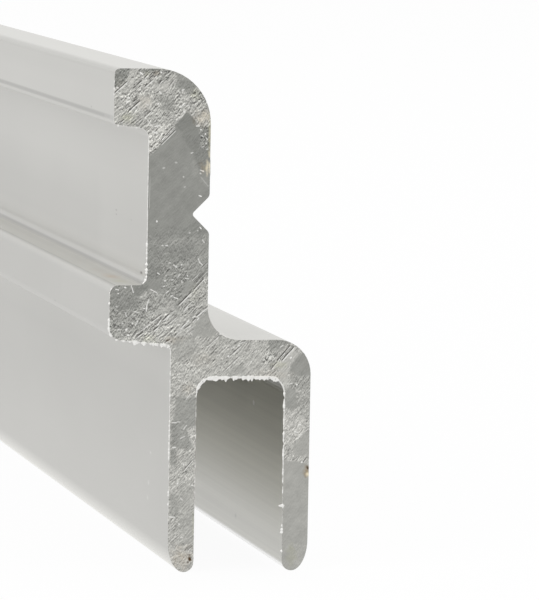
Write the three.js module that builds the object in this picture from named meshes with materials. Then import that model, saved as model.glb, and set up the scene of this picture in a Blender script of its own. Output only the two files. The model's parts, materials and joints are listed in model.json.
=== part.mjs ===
// Aluminium extrusion profile: one straight bar of constant section, sawn square at both ends.
//
// The section stands on the rounded tips of two legs. The legs and the roof over them make a channel that
// is open below and grips the edge of a panel. A thick web rises from the channel's left half and ends in
// a head. Two lips reach out to the left, one level with the channel's roof and one at the head, and leave
// a shallow recess between them. A V groove along the web's right face guides a drill.
//
// Millimetres, +Z up. The bar runs along Y, and the section lies in the plane of X and Z. The origin is at
// the middle of the bar's length, under the middle of its width, on the surface it stands on.

import * as THREE from "three";

// ---- Driving dimensions ----

const BAR_LENGTH = 1000; // sold by the metre
const OVERALL_HEIGHT = 46; // leg tips to the top of the head

// Channel
const PANEL_SLOT_WIDTH = 8.3; // clear width for an 8 mm panel
const PANEL_SLOT_DEPTH = 17.9; // leg tips to the slot's ceiling
const SLOT_CORNER_RADIUS = 1.5;
const LEG_THICKNESS = 2.4;
const LEG_TIP_INNER_RADIUS = 0.9;
const LEG_TIP_OUTER_RISE = 2.8; // height over which a leg's outer face curves in to its tip
const ROOF_THICKNESS = 3.4;
const ROOF_SHOULDER_RADIUS = 3.2;

// Web
const WEB_THICKNESS = 5.7;
const WEB_OVERHANG = 2.35; // left face of the web beyond the left leg's outer face
const WEB_ROOF_FILLET = 3; // right face of the web into the channel's roof

// Head and its lip
const HEAD_THICKNESS = 5.1; // at the lip's edge
const HEAD_LIP_REACH = 3.25; // beyond the web's left face
const HEAD_SHOULDER_RADIUS = 5; // top of the head into the web's right face
const HEAD_TOP_RADIUS = 0.5;
const HEAD_EDGE_RADIUS = 0.45;
const HEAD_ROOT_FILLET = 1;

// Seat lip, level with the channel's roof
const SEAT_RISE = 5.05; // channel's roof to the lip's seat
const SEAT_LIP_THICKNESS = 4.9; // at the lip's edge
const SEAT_LIP_REACH = 3.4; // beyond the web's left face
const SEAT_TOP_RADIUS = 0.8;
const SEAT_EDGE_RADIUS = 1.1;
const SEAT_ROOT_FILLET = 0.8;
const LEG_ROOT_FILLET = 0.6; // underside of the lip into the left leg

// Both lips get thicker towards their root: the underside falls by this many degrees.
const LIP_DRAFT = 6;

// Drill groove
const GROOVE_ABOVE_MIDDLE = 0.15; // groove's axis above the middle of the web's flat right face
const GROOVE_OPENING = 3.3;
const GROOVE_DEPTH = 1.65;
const GROOVE_ROOT_RADIUS = 0.3;
const GROOVE_EDGE_RADIUS = 0.5;

// Furthest that a chord may lie from the true arc of a rounded corner
const ARC_TOLERANCE = 0.01;

// ---- Levels and faces of the section, worked out from the dimensions above ----

// Across, from the left leg's outer face
const legRight = PANEL_SLOT_WIDTH + 2 * LEG_THICKNESS;
const slotLeft = LEG_THICKNESS;
const slotRight = slotLeft + PANEL_SLOT_WIDTH;
const webLeft = -WEB_OVERHANG;
const webRight = webLeft + WEB_THICKNESS;
const headLeft = webLeft - HEAD_LIP_REACH;
const seatLeft = webLeft - SEAT_LIP_REACH;

// Up, from the leg tips
const roofTop = PANEL_SLOT_DEPTH + ROOF_THICKNESS;
const seatTop = roofTop + SEAT_RISE;
const seatUnderside = seatTop - SEAT_LIP_THICKNESS;
const headUnderside = OVERALL_HEIGHT - HEAD_THICKNESS;
const webFlatBottom = roofTop + WEB_ROOF_FILLET;
const webFlatTop = OVERALL_HEIGHT - HEAD_SHOULDER_RADIUS;
const grooveAxis = (webFlatBottom + webFlatTop) / 2 + GROOVE_ABOVE_MIDDLE;

const draftSlope = Math.tan(THREE.MathUtils.degToRad(LIP_DRAFT));
const underHeadAtWeb = headUnderside - draftSlope * HEAD_LIP_REACH;
const underSeatAtLeg = seatUnderside - draftSlope * -seatLeft;

// ---- Rounded corners ----

// A corner of the outline. A number rounds it to that radius. A pair gives the setbacks from the corner
// along the side before it and the side after it, for a quarter of an ellipse.
const corner = (x, z, rounding) => ({ at: new THREE.Vector2(x, z), rounding });

function setbacks(rounding, angle) {
  if (Array.isArray(rounding)) return rounding;
  const setback = rounding / Math.tan(angle / 2);
  return [setback, setback];
}

// The points of a rounded corner: a conic that leaves each side at its setback. Equal setbacks make it an
// arc of a circle, and unequal ones at a square corner make it a quarter of an ellipse.
function roundedCorner(previous, current, next) {
  const before = previous.at.clone().sub(current.at).normalize();
  const after = next.at.clone().sub(current.at).normalize();
  const angle = Math.acos(before.dot(after));
  const [setbackBefore, setbackAfter] = setbacks(current.rounding, angle);
  const start = current.at.clone().addScaledVector(before, setbackBefore);
  const end = current.at.clone().addScaledVector(after, setbackAfter);
  const cornerWeight = Math.sin(angle / 2);
  const largestRadius = Math.max(setbackBefore, setbackAfter) * Math.tan(angle / 2);
  const chordAngle = 2 * Math.acos(1 - ARC_TOLERANCE / largestRadius);
  const chords = Math.ceil((Math.PI - angle) / chordAngle);
  return Array.from({ length: chords + 1 }, (_, i) => {
    const t = i / chords;
    const weights = [(1 - t) ** 2, 2 * cornerWeight * t * (1 - t), t ** 2];
    const total = weights[0] + weights[1] + weights[2];
    return new THREE.Vector2()
      .addScaledVector(start, weights[0] / total)
      .addScaledVector(current.at, weights[1] / total)
      .addScaledVector(end, weights[2] / total);
  });
}

// The closed outline through the rounded corners. Where one rounding ends at the start of the next, the
// point that they share is kept once.
function roundedOutline(corners) {
  const smallestGap = 1e-6;
  const points = corners.flatMap((current, i) =>
    roundedCorner(corners.at(i - 1), current, corners[(i + 1) % corners.length]),
  );
  return points.filter((point, i) => point.distanceTo(points.at(i - 1)) > smallestGap);
}

// ---- Section ----

// Clockwise from the head's top left corner, as seen from the -Y end
function profileSection() {
  const tipOuter = LEG_THICKNESS - LEG_TIP_INNER_RADIUS;
  const head = [
    corner(headLeft, OVERALL_HEIGHT, HEAD_TOP_RADIUS),
    corner(webRight, OVERALL_HEIGHT, HEAD_SHOULDER_RADIUS),
  ];
  const drillGroove = [
    corner(webRight, grooveAxis + GROOVE_OPENING / 2, GROOVE_EDGE_RADIUS),
    corner(webRight - GROOVE_DEPTH, grooveAxis, GROOVE_ROOT_RADIUS),
    corner(webRight, grooveAxis - GROOVE_OPENING / 2, GROOVE_EDGE_RADIUS),
  ];
  const roof = [
    corner(webRight, roofTop, WEB_ROOF_FILLET),
    corner(legRight, roofTop, ROOF_SHOULDER_RADIUS),
  ];
  const rightTip = [
    corner(legRight, 0, [LEG_TIP_OUTER_RISE, tipOuter]),
    corner(slotRight, 0, LEG_TIP_INNER_RADIUS),
  ];
  const slotCeiling = [
    corner(slotRight, PANEL_SLOT_DEPTH, SLOT_CORNER_RADIUS),
    corner(slotLeft, PANEL_SLOT_DEPTH, SLOT_CORNER_RADIUS),
  ];
  const leftTip = [
    corner(slotLeft, 0, LEG_TIP_INNER_RADIUS),
    corner(0, 0, [tipOuter, LEG_TIP_OUTER_RISE]),
  ];
  const seatLip = [
    corner(0, underSeatAtLeg, LEG_ROOT_FILLET),
    corner(seatLeft, seatUnderside, SEAT_EDGE_RADIUS),
    corner(seatLeft, seatTop, SEAT_TOP_RADIUS),
    corner(webLeft, seatTop, SEAT_ROOT_FILLET),
  ];
  const headLip = [
    corner(webLeft, underHeadAtWeb, HEAD_ROOT_FILLET),
    corner(headLeft, headUnderside, HEAD_EDGE_RADIUS),
  ];
  const groups = [head, drillGroove, roof, rightTip, slotCeiling, leftTip, seatLip, headLip];
  return new THREE.Shape(roundedOutline(groups.flat()));
}

// ---- Bar ----

// Satin finish of a natural anodised extrusion
const anodisedAluminium = new THREE.MeshStandardMaterial({
  color: 0xc5c4c0,
  roughness: 0.42,
  metalness: 0.85,
});

function extrudedBar() {
  const geometry = new THREE.ExtrudeGeometry(profileSection(), { depth: BAR_LENGTH, bevelEnabled: false });
  const bar = new THREE.Mesh(geometry, anodisedAluminium);
  bar.name = "extruded_profile";
  // The shape is drawn in X and Y and extruded along Z. This turn sets it upright, with the length on Y.
  bar.rotation.x = Math.PI / 2;
  bar.position.set(-(seatLeft + legRight) / 2, BAR_LENGTH / 2, 0);
  return bar;
}

const profile = new THREE.Group();
profile.add(extrudedBar());

export default profile;
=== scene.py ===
"""Looks of an aluminium extrusion profile: a satin anodised bar with hand-sawn ends, on a white studio floor.

The bar's section, length and place come from the frame. This script gives its two ends the relief that a saw
leaves, pushes a burr out along the near end's rim, and makes the finishes, the floor, the lamps and the
camera.
"""

import json
import math
from collections import namedtuple

import bmesh
import bpy
from bpy.props import FloatProperty, FloatVectorProperty, PointerProperty
from mathutils import Matrix, Vector, noise
from mathutils.kdtree import KDTree


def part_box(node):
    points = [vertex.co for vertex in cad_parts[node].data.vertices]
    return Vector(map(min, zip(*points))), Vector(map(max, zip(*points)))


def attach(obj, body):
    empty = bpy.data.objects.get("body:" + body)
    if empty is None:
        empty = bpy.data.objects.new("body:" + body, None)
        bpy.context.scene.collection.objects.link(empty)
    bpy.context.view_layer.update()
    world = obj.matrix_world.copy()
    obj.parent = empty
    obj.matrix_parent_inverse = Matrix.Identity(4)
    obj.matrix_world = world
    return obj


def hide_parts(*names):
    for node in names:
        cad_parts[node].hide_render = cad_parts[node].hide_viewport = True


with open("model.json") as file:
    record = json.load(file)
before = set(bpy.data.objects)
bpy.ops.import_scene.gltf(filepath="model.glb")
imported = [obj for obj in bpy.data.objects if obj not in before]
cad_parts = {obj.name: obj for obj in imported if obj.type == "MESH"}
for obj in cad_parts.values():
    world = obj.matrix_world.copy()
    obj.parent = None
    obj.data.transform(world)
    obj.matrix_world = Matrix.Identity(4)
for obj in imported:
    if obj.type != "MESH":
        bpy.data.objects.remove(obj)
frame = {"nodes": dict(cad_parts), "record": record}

bl_info = {
    "name": "Sawn extrusion profile",
    "version": (1, 0, 0),
    "blender": (4, 5, 0),
    "location": "3D View > Sidebar > Extrusion",
    "description": "Finishes a bar of aluminium extrusion and its studio stage",
    "category": "Object",
}

NODE = "extruded_profile"
MM = 0.001

# ---- Places from the frame, in metres ----

MOUNTS = {mount["name"]: Vector(mount["pos_m"]) for mount in frame["record"]["mounts"]}
NEAR_END = MOUNTS["near_end"].y
FAR_END = MOUNTS["far_end"].y
LEG_FACE = MOUNTS["left_leg_face"].x
SLOT_HALF_WIDTH = 4.15 * MM

# ---- Mesh of the bar, in metres ----

# What the corners of the sawn ends and the burr keep for the finishes
STORED = (
    "light", "tearing", "curls", "tone", "along_strokes", "across_strokes",
    "furrow_depth", "furrow_offset", "chip_cover", "chip_strength",
    "rust", "olive", "cream", "grime", "burr",
)
ACROSS, ALONG, UP = Vector((1, 0, 0)), Vector((0, 1, 0)), Vector((0, 0, 1))
WELD = 1e-6
SNAP = 2e-6  # a corner this near a cutting plane counts as on it
FLAT_ANGLE = math.radians(0.5)  # triangles that meet flatter than this are one face
END_LEAN = 0.5  # a face whose normal leans further along the bar than this belongs to an end
BURR_LINE = 0.03 * MM  # from the end back to the burr's edge
BURR_ROOT = 0.12 * MM  # from the end back to where the burr leaves the wall
THINNEST_BURR = 0.02 * MM
EDGE_ZONE = 0.5 * MM  # from the end back to where the wall's fine cells stop
DETAIL_ZONE = 80 * MM  # stretch behind the near end that gets its own share of the map's height
DETAIL_SHARE = 0.5

# ---- Saw marks, in millimetres of the section ----
# Across from the left leg's outer face, and up from the leg tips, as a view along the bar from its near end
# shows them.

# Slope of the saw's strokes over the left leg's outer face, and how much it grows per millimetre across
STROKE_SLOPE = 0.92
STROKE_BEND = 0.022
FURROW_REACH = 0.45  # how far off a furrow still shows
FURROW_TAPER = 0.2  # length over which a furrow runs out at each end
FAR_FROM_FURROWS = 9.0  # offset of a corner that no furrow reaches, in half widths of a furrow
OUTSIDE_CHIPS = -1.0  # cover of a corner that no chip reaches

# What the saw did where no area says otherwise: light, tearing and curls
NEAR_END_CUT = (0.96, 0.72, 0.62)
FAR_END_CUT = (0.7, 0.8, 0.62)

# Height of the saw's relief over the tearing, the furrows and the chips, in mark depths
TORN_HEIGHT = 0.5
FURROW_HEIGHT = -1.2
CHIP_HEIGHT = 0.7

# The noise that makes each kind of mark uneven: the strength, the fineness per millimetre and the seed of
# each of its waves
AREA_WAVES = ((0.5, 1.7, 7), (0.35, 5, 8))
CURL_WAVES = ((0.7, 3.1, 3),)
FURROW_WAVES = ((0.4, 3, 9),)
CHIP_WAVES = ((0.5, 5, 9),)
RIM_WAVES = ((0.4, 6, 15),)
STAIN_WAVES = ((0.5, 2.3, 13), (0.4, 6, 14))
BURR_WAVES = ((1.6, 2.6, 11), (1.0, 7, 12))

# Torn metal's strokes: the strength, the fineness along and across the strokes, and the seed of each noise
TORN_STROKES = ((0.8, 0.5, 3.4, 1), (0.5, 0.9, 6.5, 2))

Area = namedtuple("Area", "outline light tearing edge curls", defaults=[0.6])
Mark = namedtuple("Mark", "start end width strength")
Stain = namedtuple("Stain", "centre reach strength")
Burr = namedtuple("Burr", "low high reach ragged")
Fleck = namedtuple("Fleck", "place reach")

# Each area has its light, from 0 for cleanly cut metal to 1 for torn metal, how rough the tearing in it is,
# the width over which it fades out, and how far curls take the place of straight strokes in it. A low light
# paints the clean cut dark, a painted reflection of the dark side that its smooth metal mirrors. A later area
# covers the ones before it.
AREAS = [
    # Clean cut down the web's upper half, with its facets
    Area([(-0.2, 42.8), (3.6, 43.0), (3.6, 29.5), (-2.6, 28.0), (-2.6, 40.8)], 0.18, 0.08, 0.1),
    Area([(-2.6, 31.0), (3.6, 32.0), (3.6, 27.6), (0.8, 27.8), (-2.6, 28.4)], 0.06, 0.3, 1.2),
    Area(
        [(0.4, 40.4), (1.3, 42.6), (3.6, 41.6), (3.6, 37.0), (2.3, 36.8), (1.9, 37.9), (1.0, 39.4)],
        0.02, 0.14, 0.3,
    ),
    Area([(0.0, 42.4), (2.2, 42.4), (2.1, 40.6), (1.2, 40.3), (0.1, 40.8)], 0.0, 0.15, 0.7),
    Area([(1.9, 38.6), (3.2, 38.6), (3.2, 37.9), (2.4, 36.9), (2.0, 37.6)], 0.0, 0.3, 0.4),
    Area([(2.2, 40.9), (3.4, 40.9), (3.4, 38.7), (2.4, 38.8)], 0.08, 0.9, 0.3, 0.9),
    Area([(1.6, 37.9), (2.1, 37.3), (2.4, 36.3), (3.3, 35.4), (3.1, 35.2), (1.7, 36.4)], 0.3, 0.15, 0.4),
    # Torn metal on both sides of its point
    Area(
        [(1.1, 42.1), (0.05, 40.9), (0.05, 40.6), (-0.9, 39.5),
         (-2.05, 38.3), (-2.8, 38.0), (-2.8, 43.5), (1.1, 43.5)],
        0.95, 1.15, 0.06, 0.62,
    ),
    Area(
        [(1.1, 42.1), (1.6, 41.6), (1.98, 41.2), (2.0, 40.85), (3.8, 40.9), (3.8, 43.5), (1.1, 43.5)],
        0.9, 0.8, 0.06, 0.8,
    ),
    # Head
    Area([(-5.3, 45.3), (-2.0, 45.5), (-1.8, 43.2), (-2.0, 41.3), (-5.3, 41.3)], 0.97, 1.0, 0.6, 0.78),
    Area(
        [(-2.0, 43.4), (0.0, 44.6), (3.5, 44.0), (3.5, 42.2), (1.0, 42.2), (-2.2, 41.0)],
        0.78, 0.9, 0.5, 0.9,
    ),
    Area([(-5.7, 42.0), (-2.4, 42.1), (-2.3, 40.4), (-5.7, 40.4)], 0.82, 0.95, 0.6),
    Area([(-2.5, 40.9), (-0.6, 40.9), (-0.4, 40.3), (-2.2, 38.2), (-2.5, 38.2)], 1.3, 1.1, 0.3, 0.75),
    Area([(-3.5, 43.7), (-2.1, 43.5), (-2.2, 42.5), (-3.3, 42.1)], 1.2, 0.5, 0.5),
    Area([(-4.4, 45.1), (-3.8, 45.1), (-3.9, 44.3), (-4.5, 44.3)], 1.2, 0.5, 0.3),
    Area([(-1.6, 44.5), (-1.0, 45.0), (-0.6, 44.9), (-0.8, 43.9), (-1.5, 43.9)], 1.15, 0.5, 0.3),
    Area([(-1.4, 43.3), (-0.3, 43.3), (-0.2, 42.5), (-0.6, 42.2), (-1.4, 42.3)], 0.35, 0.7, 0.6, 0.7),
    Area([(-3.4, 46.1), (0.2, 46.1), (0.0, 45.6), (-3.3, 45.6)], 0.35, 1.2, 0.3, 0.6),
    Area([(-1.7, 45.5), (-0.1, 45.7), (-0.6, 45.1), (-1.3, 44.6), (-1.7, 44.6)], 0.45, 1.2, 0.2),
    Area([(1.4, 44.0), (2.4, 44.2), (3.2, 42.9), (2.7, 42.6), (1.5, 43.3)], 0.5, 1.2, 0.4, 0.9),
    Area([(1.7, 42.4), (3.3, 42.4), (3.3, 40.9), (2.0, 40.9), (1.7, 41.6)], 0.95, 0.8, 0.3, 0.9),
    Area(
        [(0.1, 45.9), (2.2, 44.8), (1.9, 44.2), (1.2, 43.7), (0.5, 44.2), (0.1, 44.4)],
        0.24, 0.3, 0.45, 1.0,
    ),
    Area([(0.2, 45.6), (1.6, 44.9), (2.4, 44.4), (2.6, 44.8), (0.4, 46.0)], 0.4, 0.35, 0.3, 1.0),
    Area([(3.0, 42.9), (3.6, 42.9), (3.6, 41.9), (3.1, 42.0)], 0.2, 0.2, 0.15),
    Area(
        [(-5.8, 46.1), (-4.1, 46.1), (-4.3, 45.4), (-4.6, 44.9), (-5.3, 44.3), (-5.8, 44.1)],
        0.0, 0.85, 0.12, 1.0,
    ),
    Area(
        [(1.1, 42.05), (1.55, 41.75), (2.0, 41.2), (1.97, 40.85), (0.8, 40.2), (0.02, 40.95)],
        0.0, 0.17, 0.05,
    ),
    # Web, from the drill groove down to the seat
    Area([(-2.6, 30.4), (3.6, 31.0), (3.6, 23.8), (-2.6, 23.8)], 0.39, 0.42, 1.6, 0.7),
    Area([(-2.6, 30.0), (2.4, 30.0), (1.2, 27.0), (0.4, 26.0), (-2.6, 25.9)], 0.14, 0.35, 0.8, 0.9),
    Area(
        [(-1.1, 28.4), (1.6, 28.7), (2.0, 27.6), (1.2, 26.6), (0.8, 25.0), (-0.4, 24.8)],
        0.3, 0.75, 0.5, 1.0,
    ),
    Area([(1.3, 28.6), (3.6, 30.0), (3.6, 27.0), (2.0, 25.8), (1.4, 26.8)], 0.32, 0.55, 0.6, 0.8),
    Area([(0.6, 24.6), (3.0, 27.1), (3.6, 27.2), (3.6, 24.2), (1.0, 23.4)], 0.76, 0.95, 0.15, 0.6),
    Area([(1.2, 26.6), (2.1, 26.7), (1.9, 26.1), (1.1, 25.4)], 0.45, 0.2, 0.25),
    Area([(-2.6, 26.9), (-1.1, 26.9), (-1.0, 25.9), (-2.6, 25.9)], 0.22, 0.15, 0.3),
    Area([(-1.1, 24.9), (0.2, 24.9), (0.2, 23.9), (-1.1, 23.9)], 0.9, 0.5, 0.4),
    # Seat lip
    Area([(-5.9, 24.3), (-2.0, 25.6), (-1.4, 23.6), (-3.4, 21.6), (-5.9, 21.2)], 0.45, 0.9, 0.4, 0.9),
    Area([(-2.3, 25.9), (-0.4, 25.4), (-0.6, 24.2), (-2.2, 23.9)], 0.45, 0.8, 0.5, 0.8),
    Area(
        [(-5.9, 26.5), (-2.3, 26.5), (-2.9, 25.4), (-3.3, 24.2), (-4.6, 24.0), (-5.9, 24.4)],
        0.16, 0.4, 0.4, 0.9,
    ),
    Area([(-3.6, 26.5), (-2.2, 26.5), (-2.3, 25.9), (-2.7, 25.4), (-3.4, 25.4)], 0.0, 0.3, 0.25),
    Area(
        [(-4.4, 21.9), (-3.4, 21.8), (-0.4, 24.0), (0.6, 21.6), (0.2, 20.9), (-4.4, 21.2)],
        0.9, 1.25, 0.3, 0.6,
    ),
    # Neck and roof
    Area([(0.0, 21.7), (2.1, 21.9), (2.5, 20.6), (2.2, 19.7), (0.3, 19.4)], 0.7, 0.4, 0.4, 0.8),
    Area([(2.6, 23.4), (3.5, 24.2), (4.5, 22.0), (3.7, 21.6), (2.2, 21.7), (2.0, 22.3)], 0.6, 0.2, 0.3),
    Area([(4.2, 21.9), (7.0, 21.4), (7.0, 20.9), (4.6, 20.9)], 0.65, 0.8, 0.3),
    Area([(9.1, 21.4), (11.2, 21.3), (10.8, 20.8), (10.2, 20.2), (9.2, 20.3)], 0.3, 0.6, 0.3, 0.8),
    Area([(8.5, 20.2), (9.9, 20.2), (9.7, 19.2), (8.5, 19.2)], 0.7, 1.2, 0.4, 0.9),
    Area([(5.9, 18.9), (6.6, 19.2), (7.1, 18.6), (6.9, 18.2), (5.6, 18.3)], 0.6, 0.3, 0.7),
    Area([(7.2, 20.0), (8.5, 20.1), (8.6, 18.2), (7.4, 18.3)], 1.0, 0.5, 0.5),
    Area(
        [(10.1, 19.0), (11.5, 20.3), (12.2, 20.1), (11.1, 18.8), (11.0, 17.2), (10.2, 17.5)],
        1.12, 0.25, 0.25,
    ),
    Area([(11.1, 18.2), (13.3, 18.2), (13.3, 16.5), (11.1, 16.5)], 0.55, 0.65, 0.3, 0.9),
    Area(
        [(11.1, 18.4), (11.3, 19.1), (12.0, 20.0), (12.5, 20.2),
         (13.4, 19.0), (13.4, 18.0), (12.0, 18.0)],
        0.33, 0.15, 0.2,
    ),
    Area([(0.0, 19.4), (2.6, 19.4), (2.6, 16.4), (0.0, 16.3)], 1.0, 0.8, 0.4, 0.7),
    # Left leg
    Area([(0.5, 16.1), (2.6, 16.1), (2.6, 13.5), (1.2, 13.1), (0.1, 13.4), (0.45, 14.5)], 0.38, 0.3, 0.25),
    Area([(0.1, 13.7), (1.4, 13.4), (2.3, 11.4), (0.6, 11.4), (0.1, 11.9)], 0.35, 0.4, 0.3),
    Area([(0.1, 11.3), (0.7, 11.3), (0.7, 9.9), (0.1, 9.9)], 0.3, 0.5, 0.2),
    Area([(0.1, 7.2), (1.1, 7.2), (1.0, 5.2), (0.1, 5.2)], 0.5, 0.5, 0.3),
    Area([(1.0, 7.8), (2.6, 8.0), (2.6, 2.6), (1.3, 2.6), (1.0, 4.2)], 0.8, 0.4, 0.5),
    Area([(0.0, 2.5), (2.6, 2.5), (2.6, -0.2), (0.0, -0.2)], 1.08, 0.5, 0.4, 0.9),
    # Right leg
    Area([(10.7, 16.8), (11.9, 16.8), (12.0, 15.0), (10.7, 14.9)], 0.4, 0.2, 0.3),
    Area([(11.7, 16.8), (13.3, 16.8), (13.3, 14.0), (12.2, 14.0)], 0.72, 0.6, 0.3, 0.8),
    Area([(10.7, 14.1), (12.6, 14.1), (12.6, 12.6), (11.6, 11.6), (10.7, 11.6)], 1.22, 0.6, 0.3, 0.8),
    Area([(11.5, 11.4), (12.6, 12.8), (13.3, 13.0), (13.3, 10.6), (11.8, 10.6)], 0.7, 0.15, 0.3, 1.0),
    Area([(10.7, 10.15), (12.1, 10.1), (13.4, 9.7), (13.4, -0.2), (10.7, -0.2)], 0.68, 0.08, 0.15, 1.0),
    Area([(11.6, 2.5), (13.2, 2.5), (13.2, 0.5), (12.0, 0.2)], 0.76, 0.15, 0.4, 1.0),
]

# Each furrow is a line of painted shade with a painted highlight on its wall below it on the right
FURROWS = [
    # Head
    Mark((-5.65, 43.75), (-4.35, 44.95), 0.1, 1.0),
    Mark((-3.95, 44.15), (-3.05, 44.98), 0.12, 1.0),
    Mark((-2.97, 45.05), (-2.45, 45.6), 0.11, 1.0),
    Mark((-3.6, 44.12), (-3.1, 44.52), 0.09, 0.6),
    Mark((-2.95, 44.27), (-2.05, 45.07), 0.11, 0.9),
    Mark((-2.5, 44.97), (-2.12, 45.42), 0.11, 1.0),
    Mark((-2.07, 45.12), (-1.75, 45.47), 0.11, 1.0),
    Mark((-1.6, 44.6), (-1.15, 45.05), 0.11, 0.9),
    Mark((-1.0, 45.4), (-0.5, 45.75), 0.11, 0.8),
    Mark((-0.65, 44.35), (-0.15, 45.0), 0.095, 0.6),
    Mark((-1.05, 43.7), (-0.65, 44.15), 0.085, 0.7),
    Mark((-4.4, 42.05), (-3.2, 43.15), 0.12, 1.0),
    Mark((-4.0, 42.88), (-3.35, 43.42), 0.11, 0.95),
    Mark((-4.7, 42.2), (-4.2, 42.65), 0.09, 0.6),
    Mark((-5.3, 42.95), (-4.7, 43.4), 0.08, 0.35),
    Mark((-5.1, 41.05), (-4.6, 41.5), 0.11, 0.9),
    Mark((-2.9, 41.55), (-2.15, 42.25), 0.1, 0.9),
    Mark((-2.9, 41.9), (-2.4, 42.35), 0.1, 0.7),
    Mark((-3.4, 41.2), (-2.9, 41.6), 0.085, 0.5),
    Mark((-2.05, 41.2), (-1.75, 41.45), 0.11, 0.8),
    Mark((-0.8, 41.5), (-0.35, 41.9), 0.08, 0.5),
    Mark((-3.95, 43.15), (-3.4, 43.68), 0.09, 0.8),
    Mark((-3.45, 43.55), (-3.2, 43.98), 0.09, 0.7),
    Mark((-1.3, 39.1), (0.1, 40.5), 0.095, 0.9),
    Mark((-1.4, 39.35), (-0.1, 40.7), 0.085, 0.7),
    # Web
    Mark((-2.27, 33.2), (-2.27, 36.3), 0.06, 0.5),
    Mark((0.55, 24.5), (1.9, 25.85), 0.12, 1.0),
    Mark((1.9, 25.85), (3.05, 27.05), 0.11, 0.9),
    Mark((1.9, 26.45), (2.85, 27.45), 0.08, 0.7),
    Mark((1.75, 26.75), (2.4, 27.4), 0.08, 0.5),
    Mark((2.1, 26.45), (3.3, 27.75), 0.08, 0.5),
    Mark((1.05, 24.15), (1.95, 25.0), 0.095, 0.7),
    Mark((2.6, 27.85), (3.3, 28.5), 0.085, 0.5),
    # Seat lip
    Mark((-3.4, 21.5), (-2.5, 22.15), 0.11, 1.0),
    Mark((-3.0, 22.1), (-1.95, 22.95), 0.1, 0.9),
    Mark((-1.95, 22.97), (-0.85, 23.8), 0.1, 0.85),
    Mark((-1.78, 22.15), (-1.2, 22.62), 0.12, 1.0),
    Mark((-1.65, 22.6), (-1.05, 23.05), 0.09, 0.7),
    Mark((-1.4, 22.95), (-0.95, 23.25), 0.085, 0.6),
    Mark((-0.9, 23.08), (-0.2, 23.77), 0.12, 0.95),
    Mark((-0.2, 23.8), (0.25, 24.08), 0.09, 0.6),
    Mark((-2.6, 21.45), (-1.9, 21.8), 0.095, 0.6),
    Mark((-2.2, 20.95), (-1.0, 21.9), 0.085, 0.4),
    Mark((-0.45, 22.7), (0.6, 23.6), 0.095, 0.5),
    Mark((-0.6, 21.12), (0.0, 21.5), 0.12, 0.9),
    Mark((0.9, 22.55), (1.4, 23.0), 0.1, 0.8),
    Mark((1.2, 22.35), (1.75, 22.77), 0.1, 0.8),
    Mark((1.85, 22.97), (2.25, 23.32), 0.11, 0.9),
    Mark((1.55, 21.95), (2.1, 22.35), 0.095, 0.6),
    Mark((2.25, 23.5), (2.78, 23.92), 0.11, 0.95),
    # Roof
    Mark((3.3, 20.7), (4.4, 21.7), 0.1, 0.6),
    Mark((4.6, 20.2), (5.2, 20.75), 0.085, 0.4),
    Mark((5.35, 19.75), (6.45, 20.75), 0.1, 0.65),
    Mark((6.25, 21.05), (7.0, 21.25), 0.1, 0.6),
    Mark((4.85, 18.4), (6.5, 19.95), 0.09, 0.55),
    Mark((7.5, 20.05), (8.05, 20.55), 0.095, 0.5),
    Mark((9.25, 18.5), (9.85, 19.25), 0.12, 0.8),
    Mark((9.85, 19.3), (11.2, 20.88), 0.12, 1.0),
    Mark((10.3, 19.35), (11.55, 20.75), 0.12, 1.0),
    Mark((8.9, 18.05), (9.35, 18.5), 0.095, 0.5),
    Mark((9.35, 18.1), (9.95, 18.6), 0.095, 0.6),
    # Legs
    Mark((1.25, 9.25), (2.2, 10.4), 0.095, 0.7),
    Mark((0.9, 8.1), (1.5, 8.6), 0.085, 0.5),
    Mark((1.5, 1.95), (2.1, 2.45), 0.08, 0.5),
    Mark((1.75, 1.9), (2.35, 2.5), 0.08, 0.4),
    Mark((12.55, 12.85), (13.1, 13.3), 0.095, 0.6),
]

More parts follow.
